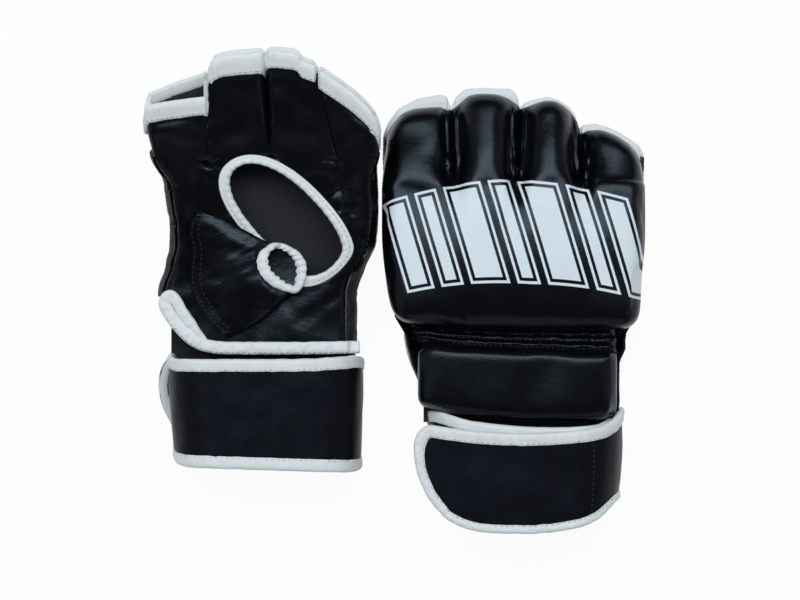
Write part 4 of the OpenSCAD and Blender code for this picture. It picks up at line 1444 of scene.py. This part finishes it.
for glove in gloves:
    walls = bmesh.new()
    for sign, edge_of, pad_of, low in ((-1, palm_left, edge_left, (-25.0, -9.0)[glove.s]),
                                       (1, palm_right, edge_right, (-46, -PALM_LOW)[glove.s])):
        def place(u, v):
            y = mix(low, CROTCH, u)
            top = mix(pad_of(glove, max(y, 16)), gusset_foot(glove, sign, y), ease((14 - y) / 12))
            x = mix(edge_of(glove, y), top - sign * 1.2, ease(v)) + sign * 1.6 * math.sin(math.pi * v)
            z = mix(4.2, PAD_Z + 1.0, v)
            x += sign * (0.5 * ripple(y, z, 7, 80) + 0.3 * ripple(y, z, 3, 81))
            return Vector((x, y, z))

        def spot(t):
            y = mix(low + 1, CROTCH - 1, t)
            return Vector((edge_of(glove, y) - sign * 1.2, y, 1.7)), Vector((sign * 0.5, 0, -1))

        strip = sheet(64, 10, place)
        if sign > 0:
            bmesh.ops.reverse_faces(strip, faces=strip.faces)
        pour(strip, walls)
        stitch(glove, "hand", "black", spot, 90, pitch=3.4, length=2.4, width=0.6)
    finish_piece(walls, glove, "gussets", SIDE_LEATHER, "leather", "hand", "side_gussets", thick=1.3)

# %% [markdown]
# ## Thumb sleeve
# The thumb's opening is a leather sleeve, sewn to the palm along a curved seam and folded flat
# over it. It is a tube whose near layer is shorter than the one on the palm, so its mouth looks
# up. Both layers run from the seam to the mouth, and the mouth has its own rolled white edge.

# %% Shape of the sleeve
SLEEVE_TOP = flat_path(((-39, 45.5), (-20, 36), (0.0, 21.5)))
SLEEVE_LOW = flat_path(((-15.5, -32), (3, -21), (20.5, -5.5)))
SLEEVE_SEAM = flat_path(((-39, 45), (-44.6, 36), (-45.4, 24), (-41.5, 7), (-34, -9), (-26, -22),
                         (-15.5, -32)))
SLEEVE_FLOOR = -0.95


def sleeve_point(u, v):
    """Point of the folded sleeve: u runs around it, near layer first, v from the seam to the mouth."""
    a = 2 * math.pi * u
    c, s = math.cos(a), math.sin(a)
    upper, lower = SLEEVE_TOP.at(v)[0], SLEEVE_LOW.at(v)[0]
    share = (1 + c) / 2
    straight = lower.lerp(upper, share)
    seam = SLEEVE_SEAM.at(1 - math.acos(max(-1.0, min(1.0, -c))) / math.pi)[0] if v < 1 else straight
    start = SLEEVE_SEAM.points[-1].lerp(SLEEVE_SEAM.points[0], share)
    across = Vector((0.93, 0.36, 0))
    deep = 9.5 + 3.5 * c if s > 0 else 7.0
    bow = (seam - start) * (1 - v) ** 1.4 - across * (deep * s * abs(s) ** 0.3 * v ** 1.6)
    thick = mix(2.0, 8.6, ease(v * 1.5)) * mix(1.0, 0.72, ease((v - 0.8) / 0.2))
    flat = math.copysign(abs(s) ** 0.62, s)
    p = straight + bow
    p.z = SLEEVE_FLOOR - thick / 2 * (1 + flat) + 0.8 * ease(v) * (1 - share) * flat
    return p


# %% Thumb sleeve
def sleeve_place(u, v):
    p = sleeve_point(u, v * 0.985)
    near = math.sin(2 * math.pi * u)
    folds = 0.7 * ripple(p.x * 0.8 + p.y, p.y, 11, 90) + 0.35 * ripple(p.x - p.y, p.y, 5, 91)
    dent = 1.3 * math.exp(-((p.x + 24) / 6) ** 2 - ((p.y + 17) / 7) ** 2)
    p.z += (folds * 0.9 + dent * ease(near * 3)) * ease(v * 4) * (1 if near > 0 else 0.3)
    return p


ring = Path([sleeve_point(k / 48, 1.0) for k in range(48)], closed=True, steps=3)
bumps = round(ring.length / 4.6)
print(f"mouth of the thumb: {ring.length:.0f} mm around")
ring_middle = sum((Vector(p) for p in ring.points), Vector()) / len(ring.points)


def ring_place(u, v):
    p, way = ring.at(u)
    ahead = Vector((0.90, 0.20, -0.34)).normalized()
    side_way = way.cross(ahead).normalized()
    if side_way.dot(p - ring_middle) < 0:
        side_way = -side_way
    a = 2 * math.pi * v
    beat = 0.5 + 0.5 * math.cos(2 * math.pi * bumps * u + 1.8 * ripple(u * 20, 0, 1, 93))
    inner = ease(0.5 - 0.6 * math.cos(a))
    r = 1 + inner * (0.28 * beat - 0.12) + 0.16 * ripple(u * 24, math.cos(a), 1, 94)
    near = ease(1.6 * math.sin(2 * math.pi * u))
    aside = side_way * (mix(2.1, 2.4, near) * r * math.cos(a))
    return p + aside + ahead * (mix(2.9, 4.0, near) * r * math.sin(a) + mix(0.8, -0.6, near))


for glove in gloves:
    sleeve = sheet(96, 36, sleeve_place, close_u=True)
    finish_piece(sleeve, glove, "thumb_leather", LEATHER, "leather", "thumb", "thumb_sleeve", thick=0.7)
    for inset in (0.035, 0.105):
        def spot(t):
            return sleeve_point(0.03 + 0.44 * t, inset) + Vector((0, 0, -0.15)), Vector((0, 0, -1))

        stitch(glove, "thumb", "black", spot, 60, pitch=2.8, width=0.65)
    edge = sheet(bumps * 10, 14, ring_place, close_u=True, close_v=True)
    finish_piece(edge, glove, "thumb_edge", BINDING, "binding", "thumb", "thumb_binding", levels=1)

# %% [markdown]
# ## Foot of the palm
# White tape binds the foot of the palm leather and climbs the thumb side, where it turns round
# and is tucked back under itself. It is one ribbon that follows a path, thicker in the middle
# and pressed flat under its stitches.

# %% Foot binding
FOOT = (((55.5, -38.9), (30, -39.2), (0, -39.4), (-20, -39.0), (-31, -37.0), (-40, -31.5), (-47.5, -23),
         (-52.6, -13), (-55.6, -3), (-56.2, 4.5), (-52.4, 7.4), (-48.2, 3.0), (-45.2, -8), (-39.5, -19),
         (-33.5, -27)),
        ((57.0, -37.0), (30, -37.4), (0, -37.5), (-20, -37.2), (-29, -35.6), (-36.6, -31.4), (-43.4, -24.4),
         (-48.4, -17.4), (-50.2, -12.6), (-48.0, -8.6), (-44.6, -10.4), (-40.8, -17.0), (-36.2, -23.8),
         (-31.4, -29.8), (-27.6, -33.6), (-24.4, -36.0)))
FOOT_TAPE = ((-3.9, 1.6), (-4.0, 0.2), (-3.6, -0.9), (-2.6, -1.2), (-1.2, -1.45), (0.6, -1.65), (2.2, -1.5),
             (3.4, -1.0), (3.9, 0.0), (3.6, 1.4), (2.0, 2.1), (-2.0, 2.1))
for glove in gloves:
    path = flat_path(FOOT[glove.s], steps=14)

    def place(u, v):
        p, way = path.at(u)
        out = Vector((way.y, -way.x, 0))
        a, b = picked(FOOT_TAPE, v)
        turn, tip = ease((u - 0.72) / 0.10), ease((u - 0.88) / 0.12)
        b = b * (1 + 0.35 * ripple(u * 60, a / 3, 1, 100)) + 0.3 * ripple(u * 26, a / 4, 1, 101)
        a = a * 0.92 * (1 - 0.10 * turn) * (1 - 0.55 * tip) + 0.35 * ripple(u * 34, 0, 1, 102)
        lift = -0.2 * turn + 1.1 * tip + rounding(palm_right(glove, p.y) - p.x + 2, 5) * 0.6
        return Vector((p.x, p.y, b + lift)) + out * -a

    def spot(t):
        p, way = path.at(0.005 + 0.69 * t)
        return Vector((p.x, p.y, -1.25)) + Vector((way.y, -way.x, 0)) * -2.5, Vector((0, 0, -1))

    tape = sheet(230, len(FOOT_TAPE), place, close_v=True)
    bmesh.ops.holes_fill(tape, edges=[e for e in tape.edges if e.is_boundary], sides=0)
    finish_piece(tape, glove, "foot_binding", BINDING, "binding", "hand", "cuff_binding", levels=1)
    stitch(glove, "hand", "white", spot, 160, pitch=3.0, width=0.55)

# %% [markdown]
# ## Wrist
# An elastic sleeve holds the wrist. The strap goes once around it, folds back at the little
# finger side and closes over itself with hook and loop tape. All of them follow one oval, so
# a place on the strap is given by how far around the wrist it is and how high its edge runs.

# %% Ovals around the wrist
def oval(grow):
    """Closed path around the wrist, from the middle of the back over the little finger side."""
    x0, x1 = CUFF_X[0] - grow, CUFF_X[1] + grow
    z0, z1 = CUFF_Z - grow, CUFF_Z + CUFF_H + grow
    r = (z1 - z0) / 2
    points = [(2.5, z1), (18, z1)]
    for centre, start in ((x1 - r, 90), (x0 + r, 270)):
        for d in range(start, start - 181, -15):
            a = math.radians(d)
            points.append((centre + r * math.cos(a), z0 + r + r * math.sin(a)))
        points += [(18, z0), (2.5, z0), (-13, z0)] if start == 90 else [(-13, z1)]
    return Path([(x, 0, z) for x, z in points], closed=True, steps=5)


# %% Edges of the strap's first turn
def wrap_top(glove, x, z):
    under = -43.2 + (2.6 * (x / 55) ** 3 if x > 0 else 0)
    return mix(under, band_top(glove, x), ease((z - CUFF_Z) / CUFF_H))


def wrap_low(glove, x, z):
    if glove.s == 0:
        return -102.6 + (15 * abs(x / 52) ** 3 if x < 0 else 16 * (x / 60) ** 3)
    under = -104.2 - 1.7 * x / 55
    over = -105 + (12 * abs(x / 52) ** 3 if x < 0 else 3.3 * (x / 60) ** 3)
    return mix(under, over, ease((z - CUFF_Z) / CUFF_H))


LIES_OVER = 2.4


def skew(glove, p):
    """Both straps are pulled tighter towards their foot, and the left one lies a little over."""
    if p.x < 0:
        p.x *= 1 - (0.09 + 0.14 * ease((-58 - p.y) / 38), 0.07 * ease((-50 - p.y) / 60))[glove.s]
    else:
        p.x *= 1 - (0.10, 0.02)[glove.s] * ease((-58 - p.y) / 50)
    p.x += LIES_OVER * glove.s
    return p


def band_sheet(glove, path, count, rows):
    def place(u, v):
        p, way = path.at(u)
        y = mix(wrap_top(glove, p.x, p.z), wrap_low(glove, p.x, p.z), taken(rows, v))
        swell = 0.35 * ripple(u * 30, y / 9, 1, 110) + 0.15 * ripple(u * 80, y / 4, 1, 111)
        return skew(glove, Vector((p.x, y, p.z)) + Vector((-way.z, 0, way.x)) * swell)
    return sheet(count, len(rows) - 1, place, close_u=True,
                 mark=lambda a, b: (a * path.length / 1000, b * 0.059))


# %% Elastic sleeve and the strap's first turn
inner_oval, band_oval = oval(-0.6), oval(STRAP_GAP + STRAP_T)
print(f"strap's first turn: {band_oval.length:.0f} mm around")
WRAP_ROWS = [.05, .07, .10, .15, .2, .27, .34, .42, .5, .58, .66, .73, .8, .85, .9, .93, .95]
for glove in gloves:
    cuff = band_sheet(glove, inner_oval, 96, [0.01 + 0.97 * k / 14 for k in range(15)])
    finish_piece(cuff, glove, "cuff_sleeve", ELASTIC, "elastic", "hand",
                 "wrist_cuff", thick=1.8)
    wrap = band_sheet(glove, band_oval, 144, WRAP_ROWS)
    finish_piece(wrap, glove, "strap_wrap", STRAP_LEATHER, "strap_leather", "hand",
                 "strap_band", thick=2.6)

# %% Bindings of the first turn
WRAP_TAPE = ((3.3, 0.0), (3.0, 0.35), (1.9, 0.5), (0.4, 0.62), (-1.2, 0.75), (-2.5, 0.5), (-3.2, -0.3),
             (-3.4, -1.5), (-3.0, -2.9), (-1.6, -3.5), (1.0, -3.5), (3.0, -3.2))
WRAP_HALF = 3.4
for glove in gloves:
    both = bmesh.new()
    for edge_of, sign in ((wrap_top, -1), (wrap_low, 1)):
        def edge_point(p, out, across, lift):
            """Point of a tape at a place across it and a height over the strap."""
            wide = 1.0 + 0.08 * ease((CUFF_Z + 14 - p.z) / 10)
            y = edge_of(glove, p.x, p.z) + sign * (across + WRAP_HALF) * wide
            return skew(glove, Vector((p.x, y, p.z)) + out * lift)

        def place(u, v):
            p, way = band_oval.at(u)
            a, b = picked(WRAP_TAPE, v)
            b += 0.35 * ripple(u * 70, a / 3, 1, 120 + sign)
            a += 0.3 * ripple(u * 44, 0, 1, 122 + sign)
            return edge_point(p, Vector((-way.z, 0, way.x)), a, b)

        def spot(t):
            p, way = band_oval.at(t)
            out = Vector((-way.z, 0, way.x))
            return edge_point(p, out, 2.3, 0.35), out

        pour(sheet(216, len(WRAP_TAPE), place, close_u=True, close_v=True), both)
        stitch(glove, "hand", "white", spot, 241, pitch=3.1)
    finish_piece(both, glove, "strap_binding", BINDING, "binding", "hand", "strap_band_binding", levels=1)

# %% [markdown]
# ## The flap
# The free part of the strap leaves the wrist at the little finger side and comes back over the
# wrist to the thumb side. Its edge is one long tape with rounded corners at the free end. A
# place on it is a distance along the strap: flat first, then around the turn.

# %% Shape of the flap
BAND_TOP = CUFF_Z + CUFF_H + STRAP_GAP + STRAP_T
FLAP_Z = BAND_TOP + 2.1
TURN = Vector((CUFF_X[1] + STRAP_GAP + STRAP_T - (CUFF_H + 2 * (STRAP_GAP + STRAP_T)) / 2,
               CUFF_Z + CUFF_H / 2))
FLAP_R = FLAP_Z - TURN.y
TURN_LONG = math.radians(86) * (FLAP_R + STRAP_T)
print(f"the flap turns over {TURN_LONG:.0f} mm")


def flap_spot(glove, a, y, h):
    """Point and outward of the flap at a distance a along it, h over its leather.

    The left flap sinks into the strap's turn."""
    over, shift = a - TURN.x, LIES_OVER * glove.s
    if over <= 0:
        return Vector((a + shift, y, FLAP_Z + STRAP_T + h)), Vector((0, 0, 1))
    turn = over / (FLAP_R + STRAP_T)
    r = FLAP_R + STRAP_T + h - glove.s * 7.0 * ease((turn - 0.15) / 1.0)
    x = TURN.x + r * math.sin(turn) * (1 - (0.13, 0.02)[glove.s] * ease((-58 - y) / 50))
    return Vector((x + shift, y, TURN.y + r * math.cos(turn))), Vector((math.sin(turn), 0, math.cos(turn)))


# %% Outline of the flap
FLAP_TOP = (((-45.2, -46.2), (-38, -47.4), (-28, -48.8), (-15, -50.1), (2, -50.8), (18, -50.6), (34, -49.4),
             (43, -48.4), (51.5, -46.6), (60, -43.6), (68, -39.8), (76, -37.0)),
            ((-43, -40.5), (-34, -43.6), (-24, -46.8), (-10, -49.2), (8, -50.2), (42, -50.2), (76, -50.2)))
FLAP_LOW = (((-8.7, -105.7), (9.5, -105.9), (21.5, -105), (33, -103.2), (41, -101.5), (49, -98.6),
             (56, -94.8), (62, -91.4), (68, -89.0), (76, -88.0)),
            ((-8.7, -105.6), (20, -105.6), (40, -105.2), (58, -102), (76, -97)))
FLAP_END = (((-8.7, -105.7), (-18, -104.9), (-27, -102.7), (-33, -100), (-38, -96.6), (-45.2, -88.4),
             (-49.8, -80.2), (-53, -71.1), (-54.4, -62), (-54.2, -56), (-52.6, -51.4), (-49.6, -47.8),
             (-45.2, -46.2)),
            ((-8.7, -105.6), (-20, -105), (-30, -102), (-38, -96.6), (-45.5, -88.4), (-52, -79), (-56.5, -69),
             (-58.3, -59), (-57.2, -50), (-53.6, -43.6), (-48.6, -40.6), (-43, -40.5)))
FLAP_CORNER = -8.7
flap_tops, flap_lows, flap_ends = ([flat_path(edge) for edge in both]
                                   for both in (FLAP_TOP, FLAP_LOW, FLAP_END))


# %% Flap leather
ALONG = [0, .008, .02, .035, .055, .08, .11, .15, .2] + [.2 + .8 * k / 40 for k in range(1, 41)]
ACROSS = [0, .02, .05, .09, .15, .23, .32, .41, .5, .59, .68, .77, .85, .91, .95, .98, 1]


def flap_rows(glove, a):
    """Upper and lower edge of the leather at a distance along the flap."""
    top, low, end = (edges[glove.s].points for edges in (flap_tops, flap_lows, flap_ends))
    half = min(range(len(end)), key=lambda i: end[i].x)
    return (height_at(top if a > top[0].x else end[half:], a),
            height_at(low if a > FLAP_CORNER else end[:half + 1][::-1], a))


for glove in gloves:
    start = min(p.x for p in flap_ends[glove.s].points) + 1.0

    def place(u, v):
        a = mix(start, TURN.x + TURN_LONG, taken(ALONG, u))
        top, foot = flap_rows(glove, a)
        y = mix(top - 1.2, foot + 1.2, taken(ACROSS, v))
        swell = 0.5 * ripple(a, y, 24, 130) + 0.2 * ripple(a, y, 8, 131) - 0.35
        return flap_spot(glove, a, y, swell)[0]

    flap = sheet(len(ALONG) - 1, len(ACROSS) - 1, place)
    finish_piece(flap, glove, "flap_leather", STRAP_LEATHER, "strap_leather", "flap", "strap_flap",
                 thick=2.4, facing=1)

# %% Flap binding
FLAP_TAPE = ((1.0, -0.3), (0.96, 0.3), (0.82, 0.42), (0.62, 0.72), (0.4, 0.95), (0.2, 0.85), (0.05, 0.3),
             (-0.02, -0.8), (0.0, -2.2), (0.14, -3.2), (0.4, -3.4), (0.8, -3.2))


def tape_wide(glove, p):
    """The tape is widest along the top and narrowest along the foot."""
    top = ease((p.y + 70) / 18)
    free = ease((-38 - p.x) / 8) * (1 - top)
    return mix(mix(4.9, 5.5 + 1.6 * glove.s, free), 7.1, top)


for glove in gloves:
    around = flap_tops[glove.s].points[::-1] + flap_ends[glove.s].points[:-1][::-1]
    around += flap_lows[glove.s].points[1:]
    sparse = around[::6]
    if (sparse[-1] - around[-1]).length < 6:
        sparse.pop()
    line = Path(sparse + [around[-1]], steps=8)

    def place(u, v):
        p, way = line.at(u)
        a, b = picked(FLAP_TAPE, v)
        spot = p + Vector((-way.y, way.x, 0)) * (a * tape_wide(glove, p) + 0.3 * ripple(u * 60, 0, 1, 140))
        rough = 0.45 * ripple(u * 90, a * 2, 1, 141) + 0.25 * ripple(u * 200, a * 3, 1, 142)
        return flap_spot(glove, spot.x, spot.y, b + rough * (1 if b > 0 else 0.3))[0]

    def edge_spot(t):
        p, way = line.at(0.015 + 0.955 * t)
        p = p + Vector((-way.y, way.x, 0)) * tape_wide(glove, p) * 0.84
        return flap_spot(glove, p.x, p.y, 0.42)

    def seam_spot(t):
        return flap_spot(glove, 44.5 + 0.4 * math.sin(2.95 * t), mix(-57.5, -95.5, t), -0.15)

    tape = sheet(300, len(FLAP_TAPE), place, close_v=True)
    bmesh.ops.holes_fill(tape, edges=[e for e in tape.edges if e.is_boundary], sides=0)
    finish_piece(tape, glove, "flap_binding", BINDING, "binding", "flap", "strap_flap_binding", levels=1)
    stitch(glove, "flap", "white", edge_spot, 320, pitch=3.1)
    stitch(glove, "flap", "black", seam_spot, 60, pitch=3.0, width=0.6)

# %% Hook and loop tape
PATCH_INSET = 9.2


def soften(patch, upright, offset, segments):
    """Rounds the upright or the level edges of a patch."""
    edges = [e for e in patch.edges if (abs(e.verts[0].co.z - e.verts[1].co.z) > 0.1) == upright]
    bmesh.ops.bevel(patch, geom=edges, offset=offset, segments=segments, profile=0.5, affect="EDGES",
                    material=-1)


for glove in gloves:
    for name, node, body, finish, x0, x1, z0, z1 in (
            ("loop_tape", "loop_patch", "hand", LOOP, -27, 32, BAND_TOP + 0.05, BAND_TOP + 0.95),
            ("hook_tape", "hook_patch", "flap", HOOK, -30.3, 15.7, FLAP_Z - 0.9, FLAP_Z - 0.05)):
        patch = bmesh.new()
        bmesh.ops.create_cube(patch, size=1.0)
        for v in patch.verts:
            x, y, z = v.co + Vector((0.5, 0.5, 0.5))
            y = mix(STRAP_LOW + PATCH_INSET, STRAP_Y - PATCH_INSET, y)
            v.co = Vector((mix(x0, x1, x), y, mix(z0, z1, z)))
        soften(patch, True, 3, 5)
        soften(patch, False, 0.25, 2)
        patch.loops.layers.uv.new("pattern")
        finish_piece(patch, glove, name, finish, name, body, node)

# %% Sew every row
for sewn in sewing.values():
    sewn.finish_rows("leather" if "black" in sewn.name else "binding")

# %% [markdown]
# ## Floor, lamps and camera
# The pair lies on a plain white table. A wide soft lamp high above the fingertips gives the
# leather its broad cool sheen, and three weak ones fill from both sides and from the wrist. The
# camera looks straight down.

# %% Floor
bm = bmesh.new()
bmesh.ops.create_grid(bm, x_segments=4, y_segments=4, size=4.0)
floor = new_object("floor", bm)
bm.free()
floor.location.z = solids_low.z - 0.0003
paper = Finish("floor_paper")
paper.set(Base_Color=(0.9, 0.9, 0.9), Roughness=0.9)
seen = paper.node("ShaderNodeLightPath", {})
glow = paper.tree.nodes.new("ShaderNodeEmission")
glow.inputs["Color"].default_value = (1, 1, 1, 1)
glow.inputs["Strength"].default_value = 1.0
both = paper.tree.nodes.new("ShaderNodeMixShader")
outputs = seen.socket.node.outputs
rays = Wire(paper, outputs["Is Camera Ray"]) + Wire(paper, outputs["Is Glossy Ray"])
rays = (rays + Wire(paper, outputs["Is Transmission Ray"])).smallest(1.0) * 0.95
paper.put(both.inputs[0], rays)
paper.tree.links.new(paper.shader.outputs[0], both.inputs[1])
paper.tree.links.new(glow.outputs[0], both.inputs[2])
paper.tree.links.new(both.outputs[0], paper.tree.nodes["Material Output"].inputs["Surface"])
floor.data.materials.append(paper.material)
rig.stage(floor)
print(f"floor {1000 * (solids_low.z - floor.location.z):.1f} mm below the pair")

# %% World and lamps
world = bpy.data.worlds.new("studio")
bpy.context.scene.world = world
world.use_nodes = True
world.node_tree.nodes["Background"].inputs["Color"].default_value = (0.85, 0.92, 1.0, 1)
world.node_tree.nodes["Background"].inputs["Strength"].default_value = 0.06


def lamp(name, spot, aim, size, power, colour):
    data = bpy.data.lights.new(name, "AREA")
    data.shape, data.size, data.size_y = "RECTANGLE", *size
    data.energy, data.color = power, colour
    made = bpy.data.objects.new(name, data)
    bpy.context.scene.collection.objects.link(made)
    made.location = spot
    made.rotation_euler = (Vector(aim) - Vector(spot)).to_track_quat("-Z", "Y").to_euler()
    print(f"{name}: {power} W")


lamp("window_panel", (-0.1, 0.85, 2.05), (0, 0.05, 0), (3.0, 0.8), 51, (0.92, 0.97, 1.0))
lamp("left_panel", (-1.9, 0.1, 1.0), (0, 0, 0), (2.4, 2.0), 6, (0.98, 0.99, 1.0))
lamp("right_panel", (1.9, -0.1, 1.0), (0, 0, 0), (2.4, 2.0), 6, (1.0, 0.99, 0.98))
lamp("wrist_panel", (0.0, -1.9, 0.9), (0, 0, 0), (2.4, 1.4), 6, (1.0, 0.99, 0.98))

# %% Camera
CAMERA_FAR, VIEW_WIDE = 2.4, 0.44
view = bpy.data.cameras.new("camera")
view.sensor_width, view.lens = 36.0, 36.0 * CAMERA_FAR / VIEW_WIDE
view.clip_start, view.clip_end = 0.1, 20
camera = bpy.data.objects.new("camera", view)
bpy.context.scene.collection.objects.link(camera)
camera.location = (0.0025, -0.0044, CAMERA_FAR + 0.04)
bpy.context.scene.camera = camera
print(f"camera {camera.location.z:.2f} m up, lens {view.lens:.0f} mm")
bpy.context.scene.view_settings.view_transform = "Standard"

# %% [markdown]
# ## Record sizes and finish
# The dressed pair stays within its solids, apart from a few millimetres of soft leather.

# %% Finish
dressed_low, dressed_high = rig.bounds()
with open("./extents.json", "w") as sizes:
    json.dump({"solids": [list(solids_low), list(solids_high)],
               "dressed": [list(dressed_low), list(dressed_high)]}, sizes)
print("dressed from", tuple(dressed_low), "to", tuple(dressed_high))
